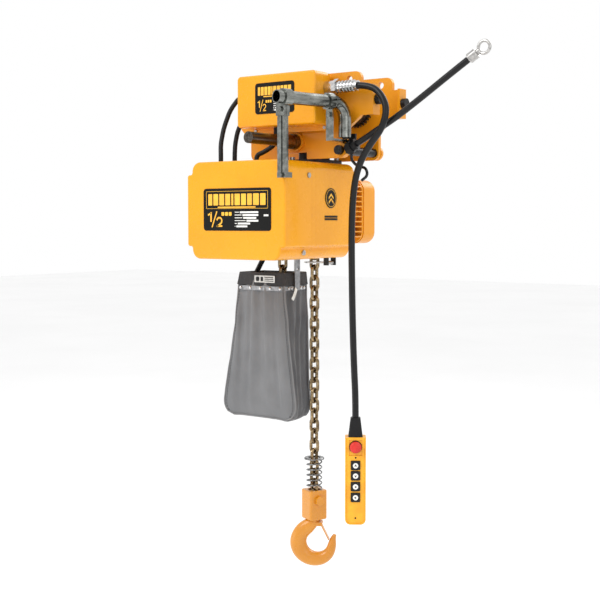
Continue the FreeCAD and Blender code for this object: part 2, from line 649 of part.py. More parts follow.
def hoist_casing():
    cover = casing_section("casing_cover", "cover_front", "cover_joint - 0.2")
    round_edges(cover, "3.5", lambda edge: at(edge, y="cover_front"))
    remove(cover, "y", "cover_front + wall", "cover_joint + 1",
           [rect("hoist_left + step_x + wall", "hoist_right - step_x - wall",
                 "hoist_bottom + 10", "hoist_top - 10")])
    remove(cover, "y", "cover_front + 30", "cover_joint + 1",
           [rect("hoist_left + 6", "hoist_right - 6", "hoist_bottom + step_z + 5", "hoist_top - step_z - 5")])
    node(cover, "front_cover")

    gears = casing_section("gear_case_cover", "cover_joint", "gear_joint - 0.2")
    remove(gears, "y", "gear_joint - 8", "gear_joint + 1", [("axis_x", "axis_z", "motor_shaft_radius + 6.3")])
    remove(gears, "y", "gear_joint - 8", "gear_joint + 1",
           [("axis_x - centres", "axis_z", "layshaft_radius + 5.3")])
    node(gears, "gear_cover")

    main = casing_section("main_casing", "gear_joint", "casing_back")
    round_edges(main, "3.5", lambda edge: at(edge, y="casing_back"))
    remove(main, "y", "gear_joint - 1", "gear_back", [[
        ("axis_x - centres - 47", "axis_z - 48"), ("axis_x + 46", "axis_z - 48"), ("axis_x + 46", "axis_z + 48"),
        ("axis_x - centres - 47", "axis_z + 48")]])
    remove(main, "z", "hoist_bottom - 1", "hoist_top - 6",
           [rect("-90", "18", "sheave_front", "sheave_back")])
    remove(main, "y", "gear_back - 1", "casing_back + 1", [("axis_x", "axis_z", "hub_radius + 9.3")])
    remove(main, "y", "gear_back - 1", "gear_back + 9",
           [("axis_x - centres", "axis_z", "layshaft_radius + 5.3")])
    node(main, "main_housing")

    frame = rod("motor_tube", "y", "motor_radius", "casing_back + 0.2", "frame_end", ("axis_x", "axis_z"))
    slats = [block(f"fin_{index}", ("axis_x - 70", "axis_x + 70"), ("casing_back + 8", "frame_end - 3"),
                   (f"axis_z - 1.3 + {9.6 * (index - 5)}", f"axis_z + 1.3 + {9.6 * (index - 5)}"))
             for index in range(11)]
    fins = doc.addObject("Part::Common", "fins")
    fins.Base = feature("fin_limit", motor_section("casing_back + 9", "frame_end - 4", 0))
    fins.Tool = fuse("fin_slats", slats)
    flange = feature("motor_flange", motor_section("casing_back + 0.2", "casing_back + 10", 0))
    rim = feature("motor_rim", motor_section("frame_end - 5", "frame_end", 0))
    hollow = rod("motor_hollow", "y", "motor_radius - 4", "casing_back + 8", "frame_end + 1", ("axis_x", "axis_z"))
    passage = rod("motor_passage", "y", "hub_radius + 9.3", "casing_back - 1", "casing_back + 9",
                  ("axis_x", "axis_z"))
    node(cut("motor_finned", fuse("motor_solid", [frame, fins, flange, rim]), [hollow, passage]), "motor_frame")

    shell = motor_section("frame_end + 0.2", "fan_end", 1.5)
    shell = shell.makeFillet(9, [edge for edge in shell.Edges if edge.BoundBox.YMin > size("fan_end") - 0.1])
    hollow = motor_section("frame_end - 1", "fan_end - 4", -1.5)
    end_edges = [edge for edge in hollow.Edges if edge.BoundBox.YMin > size("fan_end") - 4.1]
    hollow = hollow.makeFillet(6, end_edges)
    slots = [Part.makeBox(62 - 3 * abs(index), 9, 4, Vector(
        size("axis_x") - 31 + 1.5 * abs(index), size("fan_end") - 6, size("axis_z") - 2 + 9 * index))
        for index in range(-4, 5)]
    node(feature("fan_shell", shell.cut([hollow] + slots)), "fan_cover")

    plates = []
    for name, face, edges in (("hoist_label", "cover_front", ("-105", "43", "-193", "-120")),
                              ("trolley_label", "box_front", ("-48", "37", "12", "66"))):
        plate = new_body(name)
        add(plate, "y", f"{face} - 0.9", face, [rect(*edges)])
        round_edges(plate, "5.5", lambda edge: lies_along(edge, "y"))
        plates.append(plate)
    plates += [
        rod("side_badge", "x", "17.5", "hoist_right", "hoist_right + 0.9", ("-54", "-136")),
        block("side_strip_upper", ("hoist_right", "hoist_right + 0.7"), ("-73", "-33"), ("-170.2", "-166.8")),
        block("side_strip_lower", ("hoist_right", "hoist_right + 0.7"), ("-73", "-33"), ("-174.8", "-171.4")),
    ]
    node(group("plates", plates), "label_plates")

    heads = [rod(f"side_screw_{index}", "x", "4.5", x, f"{x} + 2.2", ("-122", z))
             for index, (x, z) in enumerate((("hoist_right", "-98"), ("hoist_right - step_x", "-231")))]
    heads += [rod(f"box_screw_{index}", "y", "2.9", "box_joint - 5.2", "box_joint - 3.2",
                  (x, "box_bottom - 4"))
              for index, x in enumerate(("-76", "75"))]
    heads += [rod(f"yoke_screw_{index}", "z", "5", "shaft_z - 30", "shaft_z - 25", (x, y))
              for index, (x, y) in enumerate((("-26", "-34"), ("26", "-34"), ("-26", "34"), ("26", "34")))]
    node(group("screw_heads", heads), "casing_screws")


# --- hoist drive --------------------------------------------------------------------------------

def hoist_drive():
    middle = ("axis_x", "axis_z")
    side = ("axis_x - centres", "axis_z")
    sheave = new_body("sheave")
    turn_profile(sheave, [
        ("gear_back - 30", "hub_bore"), ("gear_back - 30", "hub_radius"), ("-12.5", "hub_radius"),
        ("-12.5", "sheave_rim"), ("-4", "sheave_rim"), ("-4", "24"), ("4", "24"), ("4", "sheave_rim"),
        ("12.5", "sheave_rim"), ("12.5", "hub_radius"), ("casing_back", "hub_radius"), ("casing_back", "hub_bore")])
    before = sheave.Shape.Volume
    pocket_sketch = sketch_on(sheave, "y", "-11")
    draw(pocket_sketch, [rect("sheave_rim - 2.5", "sheave_rim + 2", "-11", "11")])
    pocket = sheave.newObject("PartDesign::Pocket", "sheave_pocket")
    pocket.Profile = pocket_sketch
    pocket.Length = 22
    doc.recompute()
    pattern = sheave.newObject("PartDesign::PolarPattern", "sheave_pockets")
    pattern.Originals = [pocket]
    pattern.Axis = (pocket_sketch, ["N_Axis"])
    pattern.Angle = 360
    pattern.Occurrences = 6
    sheave.Tip = pattern
    doc.recompute()
    if sheave.Shape.Volume > before - 100:
        raise RuntimeError("the sheave's pockets cut nothing")
    place(sheave, ("axis_x", "0", "axis_z"))
    node(sheave, "load_sheave")

    x, z = size("axis_x"), size("axis_z")
    lay_x = x - size("centres")
    output_gear = gear(52, 1.5, 18, size("hub_radius + gap"))
    node(feature("gear_output", output_gear, across_y(x, -76, z)), "output_gear")

    node(fuse("layshaft", [
        feature("lay_gear", gear(65, 1.25, 14, 5), across_y(lay_x, -98, z)),
        feature("lay_pinion", gear(13, 1.5, 22, 5, True), across_y(lay_x, -80, z)),
        rod("lay_shaft", "y", "layshaft_radius", "-107.5", "gear_back + 8.5", side),
        ring("lay_collar", "y", "8.5", "layshaft_radius - 1", "-84.5", "-79.5", side)]), "layshaft_gears")

    spindle = fuse("spindle", [
        rod("spindle_rod", "y", "motor_shaft_radius", "-107.5", "fan_end - 12", middle),
        feature("spindle_pinion", gear(13, 1.25, 14, 5), across_y(x, -98, z))])
    node(group("motor_rotor", [spindle, ring("rotor", "y", "32.5", "motor_shaft_radius", "46", "98", middle)]),
         "motor_rotor_shaft")
    node(group("windings", [
        ring("stator", "y", "motor_radius - 4.3", "33", "44", "100", middle),
        ring("coil", "y", "44", "motor_shaft_radius + 2", "110", "124", middle)]), "motor_windings")
    node(ring("disc", "y", "40", "motor_shaft_radius", "105", "109", middle), "brake_disc")

    hub = ring("fan_hub", "y", "16", "motor_shaft_radius", "134", "158", middle)
    blades = []
    for index in range(8):
        blade = Part.makeBox(34, 2.5, 22, Vector(14, -1.25, 0))
        turned = Placement(Vector(), Rotation(UP, 45 * index)).multiply(Placement())
        piece = feature(f"blade_{index}", blade)
        piece.Placement = across_y(x, 135, z).multiply(turned)
        blades.append(piece)
    node(fuse("fan", [hub] + blades), "cooling_fan")

    rings = [
        ("bearing_motor_front", "motor_shaft_radius + 6", "motor_shaft_radius + fit", "-107.8", "-100.4", middle),
        ("bearing_lay_front", "layshaft_radius + 5", "layshaft_radius + fit", "-107.8", "-100.4", side),
        ("bearing_lay_back", "layshaft_radius + 5", "layshaft_radius + fit", "-49.5", "-41.5", side),
        ("bearing_sheave_front", "hub_radius + 9", "hub_radius + fit", "-48", "-28", middle),
        ("bearing_sheave_back", "hub_radius + 9", "hub_radius + fit", "14", "23.5", middle),
    ]
    node(group("bearing_rings", [ring(name, "y", *values) for name, *values in rings]), "bearings")

    gear_boxes = [
        block("terminal_plate", ("-120", "48"), ("-118", "-115"), ("-222", "-96")),
        block("contactor_up", ("-108", "-66"), ("-158", "-118"), ("-150", "-104")),
        block("contactor_down", ("-58", "-16"), ("-158", "-118"), ("-150", "-104")),
        block("transformer", ("-6", "42"), ("-165", "-118"), ("-210", "-150")),
        block("inverter", ("-108", "-20"), ("-170", "-118"), ("-216", "-158")),
    ]
    node(group("control_boxes", gear_boxes), "control_gear")


# --- chain, hook, bag ---------------------------------------------------------------------------

def chain_and_hook():
    lowest = size("hook_bolt_z - bolt_radius") - 0.2 + size("chain_pitch") / 2 + 0.1
    node(feature("fall", chain_run(0, lowest, 29, True, size("block_turn"))), "load_chain")
    slack_x = -2 * size("sheave_radius")
    node(feature("slack", chain_run(slack_x, -388, 11, True, 0)), "slack_chain")

    guide = new_body("guide")
    add(guide, "z", "hoist_bottom", "hoist_bottom + 16",
        [rect("-89.7", "17.7", "sheave_front + gap", "sheave_back - gap")])
    for x in ("0", "-2 * sheave_radius"):
        remove(guide, "z", "hoist_bottom - 1", "hoist_bottom + 17", [(x, "0", "11.6")])
    ears = [block(f"lever_ear_{index}", ("lever_pivot_x - 5", "lever_pivot_x + 5"), y,
                  ("lever_z - 6", "hoist_bottom"))
            for index, y in enumerate((("-13", "-10.4"), ("10.4", "13")))]
    pin_rod = rod("lever_pin", "y", "1.5", "-13", "13", ("lever_pivot_x", "lever_z - 1.25"))
    node(group("guide_and_pivot", [guide, fuse("lever_ears", ears + [pin_rod])]), "chain_guide")

    lever = new_body("lever")
    add(lever, "z", "lever_z - 2.5", "lever_z", [rect("-17", "lever_pivot_x", "-10", "10")])
    add(lever, "z", "lever_z - 2.5", "lever_z", [("0", "0", "17")])
    add(lever, "y", "-10", "10", [("lever_pivot_x", "lever_z - 1.25", "3.5")])
    remove(lever, "z", "lever_z - 4", "lever_z + 4", [("0", "0", "13.2")])
    remove(lever, "y", "-11", "11", [("lever_pivot_x", "lever_z - 1.25", "1.5 + fit")])
    node(lever, "limit_lever")

    turn = Rotation(UP, size("block_turn"))
    block_body = new_body("hook_housing")
    add(block_body, "z", "block_bottom", "block_top", [rect("-17.5", "17.5", "-18.5", "18.5")])
    round_edges(block_body, "4.5", lambda edge: lies_along(edge, "z"))
    round_edges(block_body, "4", lambda edge: at(edge, z="block_bottom"))
    round_edges(block_body, "1.5", lambda edge: at(edge, z="block_top"))
    remove(block_body, "z", "block_bottom + 23", "block_top + 1", [rect("-4.5", "4.5", "-11.5", "11.5")])
    remove(block_body, "z", "hook_bolt_z + 7", "block_top + 1", [("0", "0", "11.7")])
    remove(block_body, "z", "block_bottom - 1", "block_bottom + 30", [("0", "0", "8 + fit")])
    remove(block_body, "z", "block_bottom + 7", "block_bottom + 23", [("0", "0", "12.5")])
    remove(block_body, "x", "-19", "19", [("0", "hook_bolt_z", "bolt_radius + 0.2")])
    remove(block_body, "x", "-19", "-14.5", [("0", "hook_bolt_z", "9.2")])
    place(block_body, ("0", "0", "0"), turn)
    node(block_body, "hook_block")

    bolt = Part.makeCylinder(size("bolt_radius"), 33, Vector(-14.3, 0, size("hook_bolt_z")), Vector(1, 0, 0))
    head = hexagon(16.5, 5.5)
    head.Placement = Placement(Vector(17.7, 0, size("hook_bolt_z")), ALONG["x"])
    nut = hexagon(15, 4)
    nut.Placement = Placement(Vector(-18.8, 0, size("hook_bolt_z")), ALONG["x"])
    node(feature("bolt", bolt.fuse([head, nut]), Placement(Vector(), turn)), "hook_bolt")

    striker = new_body("striker")
    top = "striker_z"
    turn_profile(striker, [
        ("11.8", top), ("striker_radius - 1", top), ("striker_radius", f"{top} - 1"),
        ("striker_radius", f"{top} - 3"), ("11.8", f"{top} - 3")],
        "V_Axis")
    node(striker, "striker_plate")

    wire, coil_radius = 1.4, 13.9
    coil_low, coil_high = size("block_top") + wire + 0.1, size("striker_z") - 4.6
    quarters = 22
    rise = (coil_high - coil_low) / quarters
    quarter = Part.makeHelix(4 * rise, rise, coil_radius)
    path = []
    for index in range(quarters):
        piece = quarter.copy()
        piece.Placement = Placement(Vector(0, 0, index * rise), Rotation(UP, 90 * index))
        path.extend(piece.Edges)
    profile = Part.Wire(Part.Circle(Vector(coil_radius, 0, 0), Vector(0, 1, 0), wire).toShape())
    coil = Part.Solid(Part.Wire(path).makePipeShell([profile], True, True))
    node(feature("coil", coil, Placement(Vector(0, 0, coil_low), Rotation())), "chain_spring")

    bowl = Vector(size("bowl_x"), 0, size("bowl_z"))
    sections = [(Vector(0, 0, -735.6), 9, 9, UP * -1), (Vector(-5, 0, -743), 12, 11, Vector(-0.7, 0, -1))]
    for angle, distance, radial, thick in (
            (146, 34, 14.8, 12.5), (180, 36, 15.6, 13), (215, 36, 15.6, 13), (250, 34.6, 14.2, 12.5),
            (284, 33, 12.5, 11.5), (318, 30.6, 10.1, 9.5), (350, 28.2, 7.8, 7.5)):
        spoke = Vector(math.cos(math.radians(angle)), 0, math.sin(math.radians(angle)))
        sections.append((bowl + spoke * distance, radial, thick, Vector(-spoke.z, 0, spoke.x)))
    sections.append((bowl + Vector(30, 0, 6), 5.2, 5, Vector(0.28, 0, 1)))
    sections.append((bowl + Vector(33.5, 0, 13.5), 2.6, 2.5, Vector(0.5, 0, 1)))
    rings = []
    for centre, radial, thick, heading in sections:
        heading.normalize()
        outward = Vector(heading.z, 0, -heading.x)
        if radial > thick:
            oval = Part.Ellipse(centre + outward * radial, centre + Vector(0, thick, 0), centre)
        else:
            oval = Part.Circle(centre, heading, radial)
        rings.append(Part.Wire(oval.toShape()))
    hook = Part.makeLoft(rings, True, False)
    shank = Part.makeCylinder(8, 24, Vector(0, 0, -737))
    collar = Part.makeCylinder(12, 14, Vector(0, 0, -727.3))
    pivot = Vector(12.5, 0, -743.5)
    ears = []
    for low in (-9.5, 7.2):
        ear = Part.makeCylinder(3.6, 2.3, pivot + Vector(0, low, 0), Vector(0, 1, 0))
        arm = Part.makeBox(13, 2.3, 7, Vector(-0.5, low, -747))
        ears += [ear, arm]
    ears.append(Part.makeCylinder(1.5, 19, pivot - Vector(0, 9.5, 0), Vector(0, 1, 0)))
    hook = hook.fuse([shank, collar] + ears)
    hook_turn = Placement(Vector(), Rotation(UP, size("hook_turn")))
    node(feature("hook_forging", hook, hook_turn), "load_hook")

    reach = Vector(15.3, 0, -30.6)
    slope = math.degrees(math.atan2(reach.x, -reach.z))
    tongue = Part.makeBox(2, 12, reach.Length, Vector(-1, -6, -reach.Length))
    barrel = Part.makeCylinder(3.2, 13.4, Vector(0, -6.7, 0), Vector(0, 1, 0))
    bore = Part.makeCylinder(1.5 + size("fit"), 16, Vector(0, -8, 0), Vector(0, 1, 0))
    latch = tongue.fuse(barrel).cut(bore)
    latch.Placement = Placement(pivot, Rotation(Vector(0, 1, 0), -slope))
    node(feature("latch", latch, hook_turn.multiply(latch.Placement)), "hook_latch")


def chain_bag():
    top, bottom, cloth = size("bag_top"), size("bag_bottom"), size("bag_cloth")
    slices = []
    for inset in (0, cloth):
        low = bottom + inset
        slices.append(Part.makeLoft([
            rounded_rectangle(size("bag_foot_left") + inset, size("bag_foot_right") - inset,
                      size("bag_foot_depth") - inset, low, 14),
            rounded_rectangle(size("bag_top_left") + inset, size("bag_top_right") - inset,
                      size("bag_half_depth") - inset, top + (0 if inset == 0 else 1), 14)], True, True))
    node(feature("bag_cloth_solid", slices[0].cut(slices[1])), "chain_bag")

    band_low, band_high = top - 34, top - 26
    fall = (top - band_low) / (top - bottom)
    left = size("bag_top_left") + fall * size("bag_foot_left - bag_top_left") - 0.4
    right = size("bag_top_right") + fall * size("bag_foot_right - bag_top_right") + 0.4
    half_depth = size("bag_half_depth") + 0.4
    height = UP * (band_high - band_low)
    outer = Part.Face(rounded_rectangle(left - 2, right + 2, half_depth + 2, band_low, 16.4)).extrude(height)
    inner = Part.Face(rounded_rectangle(left, right, half_depth, band_low, 14.4)).extrude(height)
    hanger = Part.makeBox(2.5, 16, size("hoist_bottom") - band_low, Vector(right + 2, -8, band_low))
    foot = Part.makeBox(14, 16, 3, Vector(right + 2, -8, size("hoist_bottom") - 3))
    hole = Part.makeCylinder(3, 8, Vector(right, 0, -266), Vector(1, 0, 0))
    hoop = outer.cut(inner).fuse([hanger, foot]).cut(hole)

    strap = Part.makeBox(2.5, 14, 60, Vector(-1.2, -7, -60))
    strap.Placement = Placement(Vector(-100, -22, size("hoist_bottom")), Rotation(Vector(0, 1, 0), 32))
    ceiling = Part.makeBox(80, 60, 40, Vector(-150, -52, size("hoist_bottom") - 0.01))
    floor = Part.makeBox(80, 60, 60, Vector(-150, -52, top - 12 - 60))
    node(feature("bag_hangers", Part.Compound([hoop, strap.cut([ceiling, floor])])), "bag_frame")


# --- pendant, cords, tow arm --------------------------------------------------------------------

BUTTON_HEIGHTS = {"button_up": -597.5, "button_down": -615.5, "button_east": -634.5, "button_west": -653.5}
STOP_Z = -565.5


def turned_place(body):
    place(body, ("pendant_x", "pendant_y", "0"), Rotation(UP, size("pendant_turn")))


def pendant():
    face = "-pendant_depth / 2"
    case = new_body("pendant_case")
    add(case, "y", face, "pendant_depth / 2", [rect("-pendant_width / 2", "pendant_width / 2",
                                                   "pendant_bottom", "pendant_top")])
    round_edges(case, "9", lambda edge: lies_along(edge, "y") and at(edge, z="pendant_bottom"))
    round_edges(case, "4", lambda edge: lies_along(edge, "z"))
    for height in BUTTON_HEIGHTS.values():
        remove(case, "y", f"{face} - 1", f"{face} + 12", [rect(
            "-button_size / 2 - gap", "button_size / 2 + gap",
            f"{height} - button_size / 2 - gap", f"{height} + button_size / 2 + gap")])
    remove(case, "y", f"{face} - 1", f"{face} + 2.5",
           [rect("-11.5", "11.5", f"{STOP_Z} - 15", f"{STOP_Z} + 12.5")])
    remove(case, "y", f"{face} + 2", f"{face} + 16", [("0", str(STOP_Z), "5 + fit")])
    turned_place(case)
    node(case, "pendant_case")

    for name, height in BUTTON_HEIGHTS.items():
        button = new_body(f"{name}_body")
        add(button, "y", f"{face} - 3", f"{face} + 8", [rect(
            "-button_size / 2", "button_size / 2",
            f"{height} - button_size / 2", f"{height} + button_size / 2")])
        round_edges(button, "2.5", lambda edge: lies_along(edge, "y"))
        round_edges(button, "1", lambda edge: at(edge, y=f"{face} - 3"))
        turned_place(button)
        node(button, name)

    stop = new_body("stop_body")
    add(stop, "y", f"{face} - 6", f"{face} - 2.5", [("0", str(STOP_Z), "10.2")])
    round_edges(stop, "2.4", lambda edge: at(edge, y=f"{face} - 6"))
    add(stop, "y", f"{face} - 2.5", f"{face} + 11", [("0", str(STOP_Z), "5")])
    turned_place(stop)
    node(stop, "emergency_stop")

    boot = Part.makeLoft([
        rounded_rectangle(-12.5, 12.5, 11, size("pendant_top"), 4),
        rounded_rectangle(-8.5, 8.5, 8.5, -516, 4)], True, True)
    bore = Part.makeCylinder(size("pendant_cord_diameter") / 2, 21, Vector(0, 0, -536))
    spot = Placement(Vector(size("pendant_x"), size("pendant_y"), 0), Rotation(UP, size("pendant_turn")))
    node(feature("boot", boot.cut(bore), spot), "pendant_boot")


# Routes of the cords: their points in order, from the exit outwards.
PENDANT_ROUTE = [
    (144, -78, 53), (160, -78, 52), (184, -79, 43), (204, -82, 14), (196, -84, -22), (166, -82, -52),
    (143, -79, -88), (134, -78, -132), (131.5, -78, -186), (132, -78, -244), (133.2, -78, -306),
    (135, -78, -368), (137.6, -78, -430), (141, -78, -484), (141, -78, -536)]
POWER_ROUTE = [
    (135, -68, -44), (149, -67, -37), (173, -66, -23.5), (214, -66, -2), (262, -66, 28), (308, -66, 58),
    (346, -66, 82)]
LINK_ROUTES = [
    [(-90, -92, 46), (-104, -92, 46), (-119, -98, 26), (-127, -108, -8), (-124, -120, -38), (-118, -127, -56),
     (-118, -127, -73)],
    [(-90, -84, 6), (-102, -84, 6), (-111, -87, -12), (-113, -92, -36), (-111, -96, -56), (-111, -96, -73)],
    [(-24, -86, -10), (-24, -86, -24), (-22, -93, -41), (-37, -100, -52), (-55, -103, -59), (-55, -103, -73)],
]


def cords():
    node(feature("pendant_tube", cord_tube("pendant_cord", PENDANT_ROUTE, size("pendant_cord_diameter"))),
         "pendant_cord")
    node(feature("power_tube", cord_tube("power_cord", POWER_ROUTE, size("power_cord_diameter"))), "power_cord")
    links = [cord_tube(f"link_cable_{index}", route, size("link_cable_diameter"))
             for index, route in enumerate(LINK_ROUTES)]
    node(feature("link_tubes", Part.Compound(links)), "trolley_cables")

    end = Vector(*POWER_ROUTE[-1])
    heading = (end - Vector(*POWER_ROUTE[-2])).normalize()
    sleeve = Part.makeCylinder(8.5, 16, end, heading)
    neck = Part.makeCylinder(5, 6, end + heading * 15.5, heading)
    eye_centre = end + heading * 30
    eye = Part.makeTorus(10, 2.6, eye_centre, Vector(0, 1, 0))
    node(feature("festoon_eye", sleeve.fuse([neck, eye])), "power_cord_eye")


def glands():
    """The pendant cord's gland on the box, and the power cord's gland by the tie bar."""
    y, z = size("gland_y"), size("gland_z")
    bore = size("pendant_cord_diameter") / 2 + 0.5
    end = size("gland_end")
    box_right = size("box_right")
    parts = [Part.makeCylinder(12, 16, Vector(0, 0, 0)), hexagon(25, 8), Part.makeCylinder(9, end - box_right)]
    parts[1].Placement = Placement(Vector(0, 0, 16), Rotation())
    for index in range(5):
        ridge = Part.makeCylinder(10.6, 3.2, Vector(0, 0, 27 + 6.6 * index))
        parts.append(ridge)
    pendant_gland = parts[0].fuse(parts[1:]).cut(
        Part.makeCylinder(bore, 60, Vector(0, 0, end - box_right - 20)))
    pendant_gland.Placement = Placement(Vector(box_right + 0.2, y, z), ALONG["x"])

    exit_point = Vector(*POWER_ROUTE[0])
    heading = (Vector(*POWER_ROUTE[1]) - exit_point).normalize()
    back = exit_point - heading * 22
    barrel = Part.makeCylinder(8.5, 22, back, heading)
    nut = hexagon(21, 8)
    nut.Placement = Placement(back + heading * 4, Rotation(UP, heading))
    cap = Part.makeCylinder(9.6, 4, exit_point - heading * 4, heading)
    plate_face = -size("plate_inner + plate_thick")
    saddle = Part.makeBox(14, plate_face - 4 - back.y, 12, Vector(113, back.y, -60))
    bracket = Part.makeBox(27, 4, 8, Vector(100, plate_face - 4, -34)).fuse(
        Part.makeBox(14, 4, 34, Vector(113, plate_face - 4, -60)))
    power_gland = barrel.fuse([nut, cap, saddle, bracket])
    node(feature("box_gland", pendant_gland), "pendant_gland")
    node(feature("cord_gland", power_gland), "power_gland")


ARM_START = Vector(78, -222, 0)
ARM_HEADING = Vector(math.sin(math.radians(14)), math.cos(math.radians(14)), 0)
ARM_RUN = 125
ARM_BEND = 27


def tow_arm():
    """A bent pipe: straight over the control box, then down beside the near side plate."""
    z = size("arm_z")
    start = ARM_START + UP * z
    bend_start = start + ARM_HEADING * ARM_RUN
    bend_end = bend_start + ARM_HEADING * ARM_BEND - UP * ARM_BEND
    centre = bend_start - UP * ARM_BEND
    slant = (ARM_HEADING + UP) * math.sqrt(0.5)
    foot = bend_end - UP * 32
    path = Part.Wire([Part.LineSegment(start, bend_start).toShape(),
                      Part.Arc(bend_start, centre + slant * ARM_BEND, bend_end).toShape(),
                      Part.LineSegment(bend_end, foot).toShape()])
    skins = []
    for radius in (size("arm_radius"), size("arm_radius - arm_wall")):
        profile = Part.Wire(Part.Circle(start, ARM_HEADING, radius).toShape())
        skins.append(Part.Solid(path.makePipeShell([profile], True, False)))
    node(feature("pipe", skins[0].cut(skins[1])), "tow_arm_pipe")

    strut_x, strut_y = 77, -203
    ring_centre = start + ARM_HEADING * ((strut_y - start.y) / ARM_HEADING.y)
    clamp = Part.makeCylinder(14, 16, ring_centre - ARM_HEADING * 8, ARM_HEADING)
    gap = size("arm_radius") + 0.2
    clamp = clamp.fuse(Part.makeBox(18, 14, 22, Vector(strut_x - 9, strut_y - 7, z - 30)))
    bars = [Part.makeBox(8.2, 5, 118, Vector(strut_x + offset, strut_y - 2.5, -100))
            for offset in (-9.5, 1.3)]
    bars.append(Part.makeBox(4, 2, 118, Vector(strut_x - 2, strut_y + 0.5, -100)))
    foot_block = Part.makeBox(20, 15, 9, Vector(strut_x - 10, strut_y - 2.6, -105)).cut(
        Part.makeBox(60, 40, 40, Vector(30, size("cover_front") - 0.1, -120)))
    bolts = []
    for x, y, height in ((strut_x, strut_y - 7, z - 19.5), (strut_x - 2, strut_y - 2.6, -100.5)):
        head = hexagon(8.5, 4)
        head.Placement = Placement(Vector(x, y, height), Rotation(Vector(1, 0, 0), 90))
        bolts.append(head)
    strut = clamp.fuse(bars + [foot_block] + bolts).cut(
        Part.makeCylinder(gap, 60, ring_centre - ARM_HEADING * 30, ARM_HEADING))

    second = start + ARM_HEADING * (ARM_RUN - 10)
    saddle = Part.makeCylinder(14, 12, second - ARM_HEADING * 6, ARM_HEADING)
    tab_x = second.x
    tab = Part.makeBox(13, 4, 58, Vector(tab_x - 6.5, second.y + 1, z - 66))
    foot_tab = Part.makeBox(13, abs(second.y + 1 + 56), 4, Vector(tab_x - 6.5, second.y + 1, z - 66))
    head = hexagon(8, 4)
    head.Placement = Placement(Vector(tab_x, second.y + 1, z - 22), Rotation(Vector(1, 0, 0), 90))
    bracket = saddle.fuse([tab, foot_tab, head]).cut(
        Part.makeCylinder(gap, 60, second - ARM_HEADING * 30, ARM_HEADING))
    node(feature("arm_supports", Part.Compound([strut, bracket])), "tow_arm_supports")

    hook_route = [(120, -61, -60), (120, -61, -71), (134, -65, -82), (154, -68, -86), (158, -69, -99),
                  (146, -69, -107)]
    node(feature("guide_rod", cord_tube("cord_guide", hook_route, 5)), "cord_guide_hook")


def check_and_export():
    doc.recompute()
    for item in doc.Objects:
        if "Invalid" in item.State or "Error" in item.State:
            raise RuntimeError(f"{item.Name} failed: {item.State}")
    for piece in nodes:
        if piece.Shape.isNull() or not piece.Shape.isValid():
            raise RuntimeError(f"{piece.Label} has no valid shape")
    os.makedirs("parts", exist_ok=True)
    for piece in nodes:
        piece.Shape.exportStep(f"parts/{piece.Label}.step")
    print(f"{len(nodes)} nodes written")


fill_sheet()
trolley()
hoist_casing()
hoist_drive()
chain_and_hook()
chain_bag()
pendant()
cords()
glands()
tow_arm()
check_and_export()
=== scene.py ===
"""Looks of the chain hoist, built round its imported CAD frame. In metres: +X along the beam,
+Y across it towards the motor, +Z up, origin on the top of the beam's lower flange."""
import math

import bmesh
import bpy
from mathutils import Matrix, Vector, noise


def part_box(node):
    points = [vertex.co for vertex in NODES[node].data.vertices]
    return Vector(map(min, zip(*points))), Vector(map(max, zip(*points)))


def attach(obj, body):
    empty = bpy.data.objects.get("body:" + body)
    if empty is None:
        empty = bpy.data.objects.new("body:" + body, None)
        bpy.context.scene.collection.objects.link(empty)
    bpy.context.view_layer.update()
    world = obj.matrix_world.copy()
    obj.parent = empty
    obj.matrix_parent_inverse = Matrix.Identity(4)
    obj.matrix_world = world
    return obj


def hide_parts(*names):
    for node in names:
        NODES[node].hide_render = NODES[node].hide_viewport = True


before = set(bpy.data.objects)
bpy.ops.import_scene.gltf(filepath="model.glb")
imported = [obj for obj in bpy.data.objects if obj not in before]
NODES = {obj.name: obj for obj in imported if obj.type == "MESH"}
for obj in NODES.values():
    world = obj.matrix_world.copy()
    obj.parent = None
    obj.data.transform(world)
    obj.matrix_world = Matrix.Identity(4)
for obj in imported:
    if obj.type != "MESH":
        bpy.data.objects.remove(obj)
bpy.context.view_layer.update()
MM = 0.001
ROOT = "hoist_frame"


# --- node materials ------------------------------------------------------------------------------

